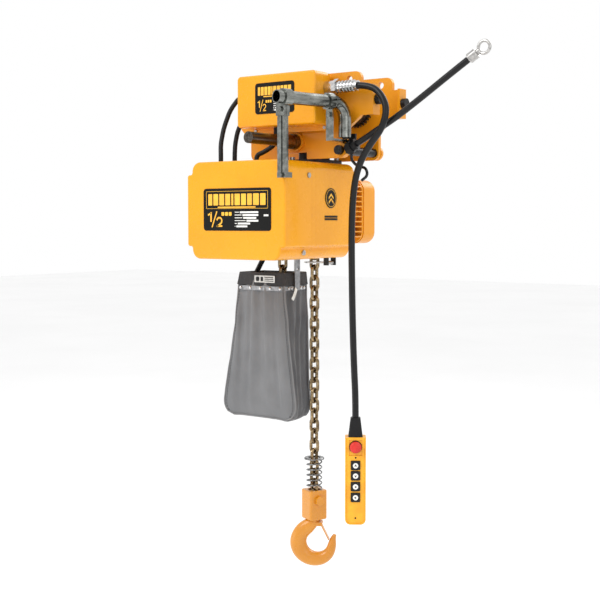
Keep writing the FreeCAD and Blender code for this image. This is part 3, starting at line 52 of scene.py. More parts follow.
class Shader:
    """A node material built step by step. Colours and sizes are in object space, in metres."""

    def __init__(self, name, metallic=0.0, roughness=0.5, **fixed):
        self.material = bpy.data.materials.new(name)
        self.material.use_nodes = True
        self.tree = self.material.node_tree
        self.surface = self.tree.nodes["Principled BSDF"]
        self.surface.inputs["Metallic"].default_value = metallic
        self.surface.inputs["Roughness"].default_value = roughness
        for label, value in fixed.items():
            self.surface.inputs[label.replace("_", " ")].default_value = value
        self.place = self.tree.nodes.new("ShaderNodeTexCoord").outputs["Object"]
        self.bump = None

    def link(self, output, socket):
        self.tree.links.new(output, socket)

    def put(self, kind, sockets=None, **settings):
        node = self.tree.nodes.new(kind)
        for label, value in settings.items():
            setattr(node, label, value)
        for label, value in (sockets or {}).items():
            if isinstance(value, bpy.types.NodeSocket):
                self.link(value, node.inputs[label])
            else:
                node.inputs[label].default_value = value
        return node

    def stretched(self, scale):
        return self.put("ShaderNodeMapping", {"Vector": self.place, "Scale": scale}).outputs["Vector"]

    def noise(self, scale, detail=3.0, rough=0.55, stretch=None):
        where = self.stretched(stretch) if stretch else self.place
        return self.put("ShaderNodeTexNoise", {
            "Vector": where, "Scale": scale, "Detail": detail, "Roughness": rough}).outputs["Fac"]

    def ramp(self, value, low, high, out_low=0.0, out_high=1.0):
        return self.put("ShaderNodeMapRange", {
            "Value": value, "From Min": low, "From Max": high, "To Min": out_low, "To Max": out_high,
        }).outputs["Result"]

    def maths(self, operation, first, second=0.5):
        node = self.put("ShaderNodeMath", operation=operation)
        for socket, value in zip(node.inputs, (first, second)):
            if isinstance(value, bpy.types.NodeSocket):
                self.link(value, socket)
            else:
                socket.default_value = value
        return node.outputs["Value"]

    def mix(self, factor, first, second):
        """Two colours, mixed by a factor."""
        node = self.put("ShaderNodeMix", data_type="RGBA")
        for index, value in ((0, factor), (6, first), (7, second)):
            if isinstance(value, bpy.types.NodeSocket):
                self.link(value, node.inputs[index])
            elif index == 0:
                node.inputs[index].default_value = value
            else:
                node.inputs[index].default_value = (*value[:3], 1)
        return node.outputs[2]

    def worn_edges(self, radius):
        """1 on convex and concave edges, 0 on flat stretches."""
        rounded = self.put("ShaderNodeBevel", {"Radius": radius}, samples=6).outputs["Normal"]
        flat = self.put("ShaderNodeNewGeometry").outputs["Normal"]
        product = self.put("ShaderNodeVectorMath", {0: rounded, 1: flat}, operation="DOT_PRODUCT")
        same = product.outputs["Value"]
        return self.ramp(same, 0.995, 0.86)

    def raise_by(self, height, distance, strength):
        sockets = {"Height": height, "Distance": distance, "Strength": strength}
        if self.bump:
            sockets["Normal"] = self.bump
        self.bump = self.put("ShaderNodeBump", sockets).outputs["Normal"]
        self.link(self.bump, self.surface.inputs["Normal"])

    def colour(self, output):
        self.link(output, self.surface.inputs["Base Color"])

    def rough(self, output):
        self.link(output, self.surface.inputs["Roughness"])


def paint(name, colour, dull, worn, roughness=(0.2, 0.36), chips=0.5, coat=0.2, shine=0.3):
    """Sprayed enamel: slow colour drift, orange peel, dust in the roughness and rubbed edges."""
    shader = Shader(name, Coat_Weight=coat, Coat_Roughness=0.12, Specular_IOR_Level=shine)
    drift = shader.ramp(shader.noise(9, 4), 0.3, 0.72)
    body = shader.mix(drift, colour, dull)
    edge = shader.worn_edges(0.0011)
    scuffs = shader.ramp(shader.noise(170, 5, 0.7), 0.56, 0.66)
    wear = shader.maths("MULTIPLY", shader.maths("MULTIPLY", edge, scuffs), chips)
    shader.colour(shader.mix(wear, body, worn))
    dust = shader.ramp(shader.noise(26, 5, 0.65), 0.3, 0.75, *roughness)
    shader.rough(shader.maths("ADD", dust, shader.maths("MULTIPLY", scuffs, 0.05)))
    shader.raise_by(shader.noise(420, 2), 0.0004, 0.22)
    return shader.material


def steel(name, bright, dark, roughness=(0.22, 0.42), grain=(1, 1, 1), stain=0.35):
    """Machined or drawn steel: streaks along the grain, smudges and slight tarnish."""
    shader = Shader(name, metallic=1.0)
    streaks = shader.noise(240, 4, 0.6, grain)
    smudge = shader.ramp(shader.noise(38, 5, 0.65), 0.42, 0.7)
    body = shader.mix(shader.ramp(streaks, 0.35, 0.7), dark, bright)
    tarnish = tuple(0.45 * part for part in dark)
    shader.colour(shader.mix(shader.maths("MULTIPLY", smudge, stain), body, tarnish))
    shader.rough(shader.ramp(shader.noise(90, 4, 0.6, grain), 0.3, 0.72, *roughness))
    shader.raise_by(streaks, 0.00025, 0.3)
    return shader.material


def moulded(name, colour, roughness, grain=900, height=0.25, shine=0.5):
    """Moulded plastic or rubber: fine grain, finger marks and a little colour drift."""
    shader = Shader(name, Specular_IOR_Level=shine)
    lighter = tuple(min(1.0, 1.35 * part + 0.002) for part in colour)
    shader.colour(shader.mix(shader.ramp(shader.noise(55, 4), 0.35, 0.75), colour, lighter))
    shader.rough(shader.ramp(shader.noise(70, 5, 0.65), 0.3, 0.72, *roughness))
    shader.raise_by(shader.noise(grain, 2), 0.0003, height)
    return shader.material


def canvas(name, colour, light, thread=0.0011):
    """Coated woven nylon: two crossed ribs of thread, creases and slightly faded patches."""
    shader = Shader(name, Sheen_Weight=0.25, Sheen_Roughness=0.4, Specular_IOR_Level=0.4)
    turns = 2 * math.pi / thread
    split = shader.put("ShaderNodeSeparateXYZ", {"Vector": shader.place})
    across = shader.maths("ADD", split.outputs["X"], split.outputs["Y"])
    warp = shader.maths("SINE", shader.maths("MULTIPLY", across, turns))
    weft = shader.maths("SINE", shader.maths("MULTIPLY", split.outputs["Z"], turns))
    weave = shader.maths("MULTIPLY", warp, weft)
    fade = shader.ramp(shader.noise(13, 5, 0.6), 0.3, 0.72)
    body = shader.mix(fade, colour, light)
    gaps = tuple(0.55 * part for part in colour)
    shader.colour(shader.mix(shader.ramp(weave, -1, 1, 0, 0.22), body, gaps))
    shader.rough(shader.ramp(shader.noise(45, 5), 0.3, 0.7, 0.5, 0.72))
    shader.raise_by(shader.noise(30, 4, 0.55, (1, 1, 0.45)), 0.006, 0.4)
    shader.raise_by(shader.noise(95, 6, 0.6), 0.0022, 0.35)
    shader.raise_by(weave, 0.00022, 0.5)
    return shader.material


HANGER_MIDDLE_X = -0.08
HOOP_TOP_Z = -0.296
COATING_EDGE = 0.001


def hanger_steel(name):
    """Steel hoop and hanger with their left strap, above the hoop, coated black."""
    shader = Shader(name)
    split = shader.put("ShaderNodeSeparateXYZ", {"Vector": shader.place})
    left = shader.ramp(split.outputs["X"], HANGER_MIDDLE_X + COATING_EDGE, HANGER_MIDDLE_X - COATING_EDGE)
    above = shader.ramp(split.outputs["Z"], HOOP_TOP_Z - COATING_EDGE, HOOP_TOP_Z + COATING_EDGE)
    strap = shader.maths("MULTIPLY", left, above)
    grain = shader.ramp(shader.noise(160, 5), 0.35, 0.7)
    body = shader.mix(grain, (0.2, 0.2, 0.205), (0.4, 0.4, 0.41))
    shader.colour(shader.mix(strap, body, (0.014, 0.014, 0.014)))
    shader.link(shader.maths("SUBTRACT", 0.92, strap), shader.surface.inputs["Metallic"])
    shader.rough(shader.ramp(shader.noise(60, 4), 0.3, 0.7, 0.3, 0.5))
    shader.raise_by(shader.noise(320, 3), 0.0003, 0.25)
    return shader.material


YELLOW = paint("enamel_yellow", (0.87, 0.37, 0.006), (0.8, 0.32, 0.005), (0.35, 0.3, 0.24))
YELLOW_CAST = paint(
    "enamel_yellow_cast", (0.84, 0.34, 0.008), (0.7, 0.265, 0.006), (0.28, 0.22, 0.15), (0.28, 0.48), 0.8)
HOOK_GOLD = paint(
    "enamel_gold", (0.72, 0.3, 0.018), (0.55, 0.2, 0.01), (0.4, 0.3, 0.17), (0.18, 0.34), 0.9, 0.3, 0.5)
BLACK = paint(
    "enamel_black", (0.008, 0.008, 0.009), (0.014, 0.013, 0.013), (0.3, 0.3, 0.3), (0.3, 0.5),
    0.8, 0.05, 0.25)
PLATE = paint(
    "plate_black", (0.004, 0.004, 0.004), (0.007, 0.007, 0.006), (0.2, 0.2, 0.2), (0.35, 0.5),
    0.5, 0.0, 0.15)
SILVER = steel("plate_silver", (0.72, 0.7, 0.66), (0.5, 0.48, 0.45), (0.35, 0.5))
BRIGHT = steel("steel_bright", (0.62, 0.61, 0.59), (0.36, 0.35, 0.34))
SHAFT = steel("steel_shaft", (0.16, 0.14, 0.12), (0.055, 0.045, 0.038), (0.2, 0.36), (1, 0.06, 1))
BRONZE = steel("steel_spacers", (0.34, 0.25, 0.15), (0.14, 0.095, 0.05), (0.26, 0.42), stain=0.6)
DARK = steel("steel_dark", (0.2, 0.2, 0.2), (0.07, 0.07, 0.072), (0.3, 0.5), stain=0.6)
COLLAR = steel("steel_black_oxide", (0.06, 0.06, 0.062), (0.022, 0.022, 0.023), (0.28, 0.42), stain=0.3)
CHAIN = steel("steel_chain", (0.52, 0.39, 0.22), (0.15, 0.105, 0.06), (0.16, 0.34), stain=0.75)
CHROME = steel("steel_chrome", (0.78, 0.78, 0.78), (0.5, 0.5, 0.5), (0.1, 0.24), stain=0.15)
HANGER = hanger_steel("steel_hanger")
SPRING = steel("steel_spring", (0.36, 0.36, 0.36), (0.12, 0.12, 0.12), (0.16, 0.3))
GALVANISED = steel(
    "steel_zinc", (0.36, 0.37, 0.345), (0.15, 0.158, 0.145), (0.12, 0.26), (0.5, 0.1, 0.5), 0.45)
RUBBER = moulded("rubber_black", (0.006, 0.006, 0.0065), (0.35, 0.55), shine=0.25)
CORD = moulded("rubber_cord", (0.005, 0.005, 0.0055), (0.24, 0.4), 500, 0.3, 0.3)
PLASTIC = moulded("plastic_black", (0.007, 0.007, 0.0075), (0.3, 0.5), shine=0.3)
PENDANT = moulded("plastic_yellow", (0.86, 0.37, 0.012), (0.24, 0.4), 700, 0.18)
RED = moulded("plastic_red", (0.55, 0.018, 0.012), (0.22, 0.38), 600, 0.12)
WHITE = moulded("print_white", (0.75, 0.74, 0.7), (0.4, 0.55))
CANVAS = canvas("canvas_grey", (0.16, 0.162, 0.168), (0.215, 0.218, 0.224))
# A darker copy of the grey canvas for the side gussets: painted shade on the sides of the bag.
CANVAS_SHADED_SIDE = canvas("canvas_side_painted_shade", (0.09, 0.091, 0.097), (0.135, 0.137, 0.143))
PRINT_YELLOW = moulded("print_yellow", (0.9, 0.43, 0.03), (0.35, 0.5))
CANVAS_DARK = canvas("canvas_dark", (0.018, 0.018, 0.02), (0.034, 0.034, 0.037))
# A lighter copy of the grey canvas for the piping: painted highlight along the piped edges.
PIPING_PAINTED_HIGHLIGHT = canvas("piping_grey_painted_highlight", (0.19, 0.19, 0.195), (0.26, 0.26, 0.265), 0.0016)

MATERIALS = [
    (YELLOW, "trolley_box_tray trolley_box_cover front_cover gear_cover main_housing"),
    (YELLOW_CAST, "near_side_plate far_side_plate trolley_motor_case motor_frame fan_cover"),
    (HOOK_GOLD, "hook_block load_hook hook_latch hook_bolt"),
    (BLACK, "suspension_yoke control_gear"),
    (PLATE, "label_plates"),
    (CHROME, "pendant_gland"),
    (HANGER, "bag_frame"),
    (BRIGHT, "casing_screws bearings brake_disc power_cord_eye"),
    (BRIGHT, "motor_rotor_shaft limit_lever"),
    (SPRING, "chain_spring striker_plate"),
    (SHAFT, "suspension_shaft wheel_axles"),
    (BRONZE, "shaft_spacers"),
    (COLLAR, "tie_bar cord_guide_hook"),
    (DARK, "near_wheel_left near_wheel_right far_wheel_left far_wheel_right trolley_drive_shaft"),
    (DARK, "load_sheave output_gear layshaft_gears motor_windings"),
    (CHAIN, "load_chain slack_chain"),
    (GALVANISED, "tow_arm_pipe tow_arm_supports"),
    (RUBBER, "bumpers pendant_boot power_gland trolley_cables"),
    (PLASTIC, "chain_guide cooling_fan button_up button_down button_east button_west"),
    (PENDANT, "pendant_case"),
    (RED, "emergency_stop"),
    (CANVAS, "chain_bag"),
    (CORD, "pendant_cord power_cord"),
]


def paint_nodes():
    for material, names in MATERIALS:
        for name in names.split():
            piece = NODES[name]
            piece.data.materials.clear()
            piece.data.materials.append(material)


# --- cords ---------------------------------------------------------------------------------------

PENDANT_CORD_DIAMETER = 0.0115
POWER_CORD_DIAMETER = 0.011
PENDANT_ROUTE = [
    (144, -78, 53), (160, -78, 52), (184, -79, 43), (204, -82, 14), (196, -84, -22), (166, -82, -52),
    (143, -79, -88), (134, -78, -132), (131.5, -78, -186), (132, -78, -244), (133.2, -78, -306),
    (135, -78, -368), (137.6, -78, -430), (141, -78, -484), (141, -78, -536)]
POWER_ROUTE = [
    (135, -68, -44), (149, -67, -37), (173, -66, -23.5), (214, -66, -2), (262, -66, 28), (308, -66, 58),
    (346, -66, 82)]


def cord_curve(name, route, diameter, material):
    """A smooth NURBS line with the route's points (in millimetres) as its control points."""
    curve = bpy.data.curves.new(name, "CURVE")
    curve.dimensions = "3D"
    spline = curve.splines.new("NURBS")
    spline.points.add(len(route) - 1)
    for point, spot in zip(spline.points, route):
        point.co = (*(MM * part for part in spot), 1)
    spline.order_u = 3
    spline.use_endpoint_u = True
    spline.resolution_u = 12
    curve.bevel_depth = diameter / 2
    curve.bevel_resolution = 5
    curve.use_fill_caps = True
    piece = bpy.data.objects.new(name, curve)
    bpy.context.collection.objects.link(piece)
    curve.materials.append(material)
    return piece


def cords():
    pendant = cord_curve("pendant_cord_smooth", PENDANT_ROUTE, PENDANT_CORD_DIAMETER, CORD)
    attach(pendant, ROOT)
    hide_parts("pendant_cord")
    power = cord_curve("power_cord_smooth", POWER_ROUTE, POWER_CORD_DIAMETER, CORD)
    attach(power, ROOT)
    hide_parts("power_cord")


# --- pieces made from rings of points ------------------------------------------------------------

class Plane:
    """A flat place to draw on, in millimetres: across it, up it, and out from it."""

    def __init__(self, origin, right):
        self.origin = Vector(origin)
        self.right = Vector(right).normalized()
        self.up = Vector((0, 0, 1))
        self.out = self.right.cross(self.up)

    def at(self, across, height, proud):
        return self.origin + self.right * across + self.up * height + self.out * proud


class Shape:
    """A mesh gathered from lofts, in millimetres."""

    def __init__(self):
        self.points = []
        self.faces = []
        self.slots = []

    def loft(self, rings, slot=0, cap_start=True, cap_end=True):
        first = len(self.points)
        count = len(rings[0])
        for ring in rings:
            self.points.extend(ring)
        for row in range(len(rings) - 1):
            for column in range(count):
                after = (column + 1) % count
                here, below = first + row * count, first + (row + 1) * count
                self.faces.append((here + column, here + after, below + after, below + column))
        if cap_start:
            self.faces.append(tuple(range(first + count - 1, first - 1, -1)))
        if cap_end:
            last = first + (len(rings) - 1) * count
            self.faces.append(tuple(range(last, last + count)))
        self.slots.extend([slot] * (len(self.faces) - len(self.slots)))

    def tube(self, path, radius, sides=10):
        """A round tube along the path, kept from twisting."""
        turns = [2 * math.pi * step / sides for step in range(sides)]
        rings = []
        side = None
        for index, spot in enumerate(path):
            heading = (path[min(index + 1, len(path) - 1)] - path[max(index - 1, 0)]).normalized()
            if side is None:
                side = heading.orthogonal().normalized()
            side = (side - heading * side.dot(heading)).normalized()
            other = heading.cross(side)
            rings.append([spot + (side * math.cos(turn) + other * math.sin(turn)) * radius
                          for turn in turns])
        self.loft(rings)

    def patch(self, plane, outline, low, high, slot=0, bevel=0.0):
        """A flat slab with the outline, from low to high off the plane, its front edge bevelled."""
        middle = Vector((0, 0))
        for spot in outline:
            middle += Vector(spot) / len(outline)
        rings = [[plane.at(across, height, low) for across, height in outline],
                 [plane.at(across, height, high - bevel) for across, height in outline]]
        if bevel:
            drawn_in = [Vector(spot) + (middle - Vector(spot)).normalized() * bevel for spot in outline]
            rings.append([plane.at(spot.x, spot.y, high) for spot in drawn_in])
        self.loft(rings, slot)

    def dome(self, plane, across, height, radius, low, rise, sides=24, steps=6):
        """A round head, such as a rivet's, on a short straight rim."""
        rim = 0.4
        rings = [[plane.at(x, y, low) for x, y in disc(across, height, radius, sides)]]
        for step in range(steps):
            turn = 0.5 * math.pi * step / steps
            ring = disc(across, height, radius * math.cos(turn), sides)
            rings.append([plane.at(x, y, low + rim + rise * math.sin(turn)) for x, y in ring])
        self.loft(rings)

    def piece(self, name, materials, body, slot, smooth=False):
        """The gathered mesh as a named piece that rides on a body."""
        mesh = bpy.data.meshes.new(name)
        mesh.from_pydata([Vector(point) * MM for point in self.points], [], self.faces)
        mesh.polygons.foreach_set("material_index", self.slots)
        for material in materials:
            mesh.materials.append(material)
        edit = bmesh.new()
        edit.from_mesh(mesh)
        bmesh.ops.recalc_face_normals(edit, faces=edit.faces)
        edit.to_mesh(mesh)
        edit.free()
        if smooth:
            mesh.polygons.foreach_set("use_smooth", [True] * len(mesh.polygons))
        made = bpy.data.objects.new(name, mesh)
        bpy.context.collection.objects.link(made)
        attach(made, body)
        return made


def bar(left, right, low, high):
    return [(left, low), (right, low), (right, high), (left, high)]


def disc(across, height, radius, sides=40):
    turns = [2 * math.pi * step / sides for step in range(sides)]
    return [(across + radius * math.cos(turn), height + radius * math.sin(turn)) for turn in turns]


def rounded_bar(left, right, low, high, corner):
    steps = 6
    outline = []
    for x, y, start in ((right - corner, high - corner, 0), (left + corner, high - corner, 90),
                        (left + corner, low + corner, 180), (right - corner, low + corner, 270)):
        for step in range(steps + 1):
            turn = math.radians(start + 90 * step / steps)
            outline.append((x + corner * math.cos(turn), y + corner * math.sin(turn)))
    return outline


def stroke(points, width):
    """The outline of a pen line through the points."""
    spots = [Vector(point) for point in points]
    left, right = [], []
    for index, spot in enumerate(spots):
        heading = (spots[min(index + 1, len(spots) - 1)] - spots[max(index - 1, 0)]).normalized()
        aside = Vector((-heading.y, heading.x)) * width / 2
        left.append(tuple(spot + aside))
        right.append(tuple(spot - aside))
    return left + right[::-1]


# --- labels --------------------------------------------------------------------------------------

# Print lies from 0 to 0.18 mm off its plate. Places on a label are shares of its width, from the
# left, and of its height, from the top.
PRINT = (0.0, 0.18)
DRAWN_WIDTH = 148
TITLE_BLOCKS = (5, 6, 6, 6, 2.5, 6.5, 6, 5.5, 7, 6.5)
TITLE_SCALE = 1.78
TITLE_SHARE = 0.85
DATA_ROWS = ((0.55, 0.82), (0.59, 0.82), (0.6, 0.79), (0.65, 0.82), (0.52, 0.7), (0.5, 0.66))
DATA_TOP, DATA_PITCH = 0.545, 0.066


def figure_two(left, low, width, height):
    """The pen line of a figure 2: a bow, a slanted neck and a foot."""
    radius = width / 2
    bow = [math.radians(170 - 24 * step) for step in range(10)]
    line = [(left + radius + radius * math.cos(turn), low + height - radius + radius * math.sin(turn))
            for turn in bow]
    return line + [(left + 0.05 * width, low + 0.06 * height)]


def print_label(name, plane, width, height, with_title_border):
    """Generic print: a row of blocks, the capacity as a fraction, and data rows as plain bars."""
    shape = Shape()
    unit = width / DRAWN_WIDTH

    def across(share):
        return (share - 0.5) * width

    def up(share):
        return (0.5 - share) * height

    if with_title_border:
        line = 0.6
        left, right, low, high = across(0.045), across(0.955), up(0.48), up(0.065)
        shape.patch(plane, bar(left, right, high - line, high), *PRINT)
        shape.patch(plane, bar(left, right, low, low + line), *PRINT)
        for side in (left, right):
            shape.patch(plane, bar(side - line / 2, side + line / 2, low, high), *PRINT)
    spare = width * TITLE_SHARE - sum(TITLE_BLOCKS) * TITLE_SCALE * unit
    start = across(0.075)
    for block in TITLE_BLOCKS:
        end = start + block * TITLE_SCALE * unit
        shape.patch(plane, rounded_bar(start, end, up(0.4), up(0.13), 0.9 * unit), *PRINT)
        start = end + spare / (len(TITLE_BLOCKS) - 1)
    shape.patch(plane, bar(across(0.22), across(0.78), up(0.46), up(0.43)), *PRINT)

    pen = 3.4 * unit
    one_x, one_foot, one_top = across(0.115), up(0.79), up(0.56)
    shape.patch(plane, stroke([(one_x, one_foot), (one_x, one_top)], pen), *PRINT)
    shape.patch(plane, stroke([(one_x, one_top - pen / 2), (across(0.07), up(0.63))], pen * 0.8), *PRINT)
    shape.patch(plane, stroke([(across(0.13), up(0.92)), (across(0.205), up(0.54))], pen * 0.7), *PRINT)
    two_left, two_low, two_width, two_pen = across(0.205), up(0.91), 0.075 * width, pen * 0.85
    shape.patch(plane, stroke(figure_two(two_left, two_low, two_width, 0.22 * height), two_pen), *PRINT)
    two_foot = bar(two_left - 0.3 * unit, two_left + two_width + unit, two_low, two_low + two_pen)
    shape.patch(plane, two_foot, *PRINT)
    for left in (0.275, 0.33, 0.385):
        block = rounded_bar(across(left), across(left + 0.042), up(0.645), up(0.56), unit)
        shape.patch(plane, block, *PRINT)

    for index, (left, right) in enumerate(DATA_ROWS):
        top = DATA_TOP + DATA_PITCH * index
        underline = bar(across(0.475), across(left - 0.015), up(top + 0.028), up(top + 0.01))
        shape.patch(plane, underline, *PRINT, 1)
        shape.patch(plane, bar(across(left), across(right), up(top + 0.042), up(top)), *PRINT, 1)
    shape.patch(plane, bar(across(0.9), across(0.965), up(0.66), up(0.62)), *PRINT, 1)
    shape.piece(name, [PRINT_YELLOW, WHITE], ROOT, "yellow_paint")


def polar_spot(radius, degrees):
    turn = math.radians(degrees)
    return (radius * math.cos(turn), radius * math.sin(turn))


def labels():
    # piece, left, right, low and high edge of the plate, its face and whether the title is framed
    plates = (("hoist_label_print", -105, 43, -193, -120, -190.9, True),
              ("trolley_label_print", -48, 37, 12, 66, -115.9, False))
    for name, left, right, low, high, face, border in plates:
        middle = ((left + right) / 2, face, (low + high) / 2)
        print_label(name, Plane(middle, (1, 0, 0)), right - left, high - low, border)
    side_badge()


def side_badge():
    """Two chevrons inside a ring."""
    badge = Shape()
    side = Plane((72.9, -54, -136), (0, 1, 0))
    for height in (-6.5, 1.5):
        badge.patch(side, [(-7.5, height), (0, height + 7), (7.5, height), (7.5, height - 3.6),
                           (0, height + 3.2), (-7.5, height - 3.6)], *PRINT)
    ring_parts = 48
    ring_inside, ring_outside = 14.6, 15.4
    for index in range(ring_parts):
        start, end = 360 / ring_parts * index, 360 / ring_parts * (index + 1)
        badge.patch(side, [polar_spot(ring_inside, start), polar_spot(ring_outside, start),
                           polar_spot(ring_outside, end), polar_spot(ring_inside, end)], *PRINT)
    badge.piece("side_badge_mark", [PRINT_YELLOW], ROOT, "yellow_paint")


# --- pendant details -----------------------------------------------------------------------------

PENDANT_SPOT = (141, -78, 0)
PENDANT_TURN = math.radians(34)
PENDANT_FACE = 14
PENDANT_TOP, PENDANT_BOTTOM = -549, -702
BUTTONS = (("up_button", -597.5, 90), ("down_button", -615.5, 270), ("east_button", -634.5, 0),
           ("west_button", -653.5, 180))
BUTTON_PROUD = 3
STOP_HEIGHT = -565.5
RIM_INSET = 1.5
INLAY_BACK, INLAY_FACE, RING_FACE = -2.8, -1.6, -0.9


def arrow(height, degrees):
    """A small arrow head pointing at an angle, its middle on a button."""
    turn = math.radians(degrees)
    spots = [(2.6, 0), (-1.5, 2.4), (-0.7, 0), (-1.5, -2.4)]
    return [(x * math.cos(turn) - y * math.sin(turn), height + x * math.sin(turn) + y * math.cos(turn))
            for x, y in spots]


def pendant_details():
    right = (math.cos(PENDANT_TURN), math.sin(PENDANT_TURN), 0)
    plane = Plane(PENDANT_SPOT, right)
    for body, height, heading in BUTTONS:
        face = Shape()
        button_top = PENDANT_FACE + BUTTON_PROUD
        face.patch(plane, disc(0, height, 4.6), button_top, button_top + 0.3, 0, 0.12)
        face.patch(plane, arrow(height, heading), button_top + 0.3, button_top + 0.45, 1)
        face.piece(f"{body}_face", [WHITE, PLASTIC], body, "yellow_paint")

    rim = Shape()
    half = 16.6
    corner = 8
    steps = 8
    path = [plane.at(-half, PENDANT_TOP - RIM_INSET, PENDANT_FACE)]
    for x, start in ((-half + corner, 180), (half - corner, 270)):
        for step in range(steps + 1):
            turn = math.radians(start + 90 * step / steps)
            height = PENDANT_BOTTOM + RIM_INSET + corner + corner * math.sin(turn)
            path.append(plane.at(x + corner * math.cos(turn), height, PENDANT_FACE))
    path.append(plane.at(half, PENDANT_TOP - RIM_INSET, PENDANT_FACE))
    rim.tube(path, 1.3)
    rim.piece("pendant_rim", [PENDANT], ROOT, "yellow_paint", smooth=True)

    recess = Shape()
    recess.patch(plane, rounded_bar(-11.3, 11.3, STOP_HEIGHT - 14.8, STOP_HEIGHT + 12.3, 2.5),
                 PENDANT_FACE + INLAY_BACK, PENDANT_FACE + INLAY_FACE, 1)
    recess.patch(plane, disc(0, STOP_HEIGHT, 11.2), PENDANT_FACE + INLAY_FACE, PENDANT_FACE + RING_FACE,
                 0, 0.2)
    for height in (-584, -690):
        recess.dome(plane, 0, height, 1.5, PENDANT_FACE, 0.5)
    recess.piece("stop_recess_ring", [RUBBER, PENDANT], ROOT, "black_rubber")

    cap = Shape()
    cap.dome(plane, 0, STOP_HEIGHT, 9.6, PENDANT_FACE + 5.7, 2.6, sides=36, steps=8)
    cap.piece("stop_cap", [RED], "stop_button", "red_plastic", smooth=True)


# --- chain bag -----------------------------------------------------------------------------------

BAG_ROWS, BAG_PANEL, BAG_GUSSET, BAG_BASE = 48, 32, 14, 5
BAG_COLUMNS = 2 * (BAG_PANEL + BAG_GUSSET)
BAG_MOUTH = (-146, -46, 36)
BAG_FOOT = (-207, -22, 27)
BAG_CORNER = 30
BAG_CAP = 5.0
HELD_ROWS = 5
CLOTH_FRAMES = 22
HOOP_DROP = 30
COLLAR_RINGS = ((0.0, 0.4), (0.004, 1.5), (0.03, 1.7), (0.06, 1.9), (0.085, 2.3), (0.0905, 0.5))
# share across the panel, width and rise in millimetres of each upright fold
BAG_FOLDS = (
    (0.12, 0.035, -2.0), (0.24, 0.04, 3.0), (0.36, 0.03, 4.2), (0.47, 0.05, -3.0),
    (0.62, 0.045, 3.2), (0.76, 0.035, -2.6), (0.88, 0.035, 2.4))


def bag_extent(fall):
    """Left, right and half depth of the bag's section, 0 at the mouth to 1 at the foot."""
    return [mouth + (foot - mouth) * fall for mouth, foot in zip(BAG_MOUTH, BAG_FOOT)]


def bag_ring(fall, top, bottom, proud=0.0):
    """One round of the bag: x, y, z, the share across its panel, and the panel.

    Panels are -1 front, 2 right gusset, 1 back and -2 left gusset."""
    left, right, depth = bag_extent(fall)
    height = top + (bottom - top) * fall
    above = height - bottom
    if above < BAG_CORNER:
        inset = BAG_CORNER - math.sqrt(max(0.0, BAG_CORNER ** 2 - (BAG_CORNER - above) ** 2))
        left, right = left + inset, right - inset
    waver = 1.6 * min(1.0, 5 * fall)
    left += waver * noise.noise(Vector((7.3, 0, 9 * fall)))
    right += waver * noise.noise(Vector((2.1, 0, 8 * fall)))
    left, right, depth = left - proud, right + proud, depth + proud
    ring = []
    for step in range(BAG_PANEL):
        ring.append((left + (right - left) * step / BAG_PANEL, -depth, height, step / BAG_PANEL, -1))
    for step in range(BAG_GUSSET):
        ring.append((right, -depth + 2 * depth * step / BAG_GUSSET, height, step / BAG_GUSSET, 2))
    for step in range(BAG_PANEL):
        ring.append((right + (left - right) * step / BAG_PANEL, depth, height, step / BAG_PANEL, 1))
    for step in range(BAG_GUSSET):
        ring.append((left, depth - 2 * depth * step / BAG_GUSSET, height, step / BAG_GUSSET, -2))
    return ring


def bag_fold(share, fall, panel):
    """How far the cloth stands proud: a belly over the chain inside, and soft upright folds."""
    inside = 4 * share * (1 - share)
    low_down = math.sin(math.pi * min(1, fall) ** 1.4)
    hang = min(1.0, fall / 0.12) * (1 - fall ** 5)
    drift = 0.05 * math.sin(3.1 * fall + panel)
    folds = 0.0
    for place, width, rise in BAG_FOLDS:
        folds += rise * math.exp(-((share - place - drift * (1 + panel * place)) / width) ** 2)
    crumple = 3.0 * noise.noise(Vector((5 * share, 4.2 * fall, 3.7 * panel)))
    crumple += 1.2 * noise.noise(Vector((13 * share, 11 * fall, 1.7 * panel)))
    belly = 3.5 if abs(panel) == 1 else -1.0
    return inside * low_down * belly + hang * inside ** 0.4 * (folds + crumple)


def bag_points(falls, top, bottom):
    """The bag's rings with every point moved out of its panel by the folds."""
    rings = []
    for fall in falls:
        ring = []
        for x, y, z, share, panel in bag_ring(fall, top, bottom):
            out = bag_fold(share, fall, panel)
            away = Vector((0, panel, 0)) if abs(panel) == 1 else Vector((panel / 2, 0, 0))
            ring.append(Vector((x, y, z)) + away * out)
        rings.append(ring)
    return rings


def hang_cloth(piece, held, cap):
    """Lets the cloth hang under its weight and the chain's push, moved no further than the cap."""
    group = piece.vertex_groups.new(name="held")
    group.add(held, 1.0, "REPLACE")
    cloth = piece.modifiers.new("cloth", "CLOTH")
    settings = cloth.settings
    settings.vertex_group_mass = "held"
    settings.quality = 6
    settings.mass = 0.3
    settings.tension_stiffness = 25
    settings.compression_stiffness = 12
    settings.bending_stiffness = 0.8
    settings.use_pressure = True
    settings.uniform_pressure_force = 0.35
    cloth.collision_settings.use_collision = False
    cloth.point_cache.frame_end = CLOTH_FRAMES
    scene = bpy.context.scene
    start = [vertex.co.copy() for vertex in piece.data.vertices]
    for step in range(1, CLOTH_FRAMES + 1):
        scene.frame_set(step)
    hung = piece.evaluated_get(bpy.context.evaluated_depsgraph_get())
    settled = bpy.data.meshes.new_from_object(hung)
    places = [vertex.co.copy() for vertex in settled.vertices]
    piece.modifiers.remove(cloth)
    scene.frame_set(1)
    for vertex, before, after in zip(piece.data.vertices, start, places):
        moved = after - before
        if moved.length > cap * MM:
            moved = moved.normalized() * cap * MM
        vertex.co = before + moved


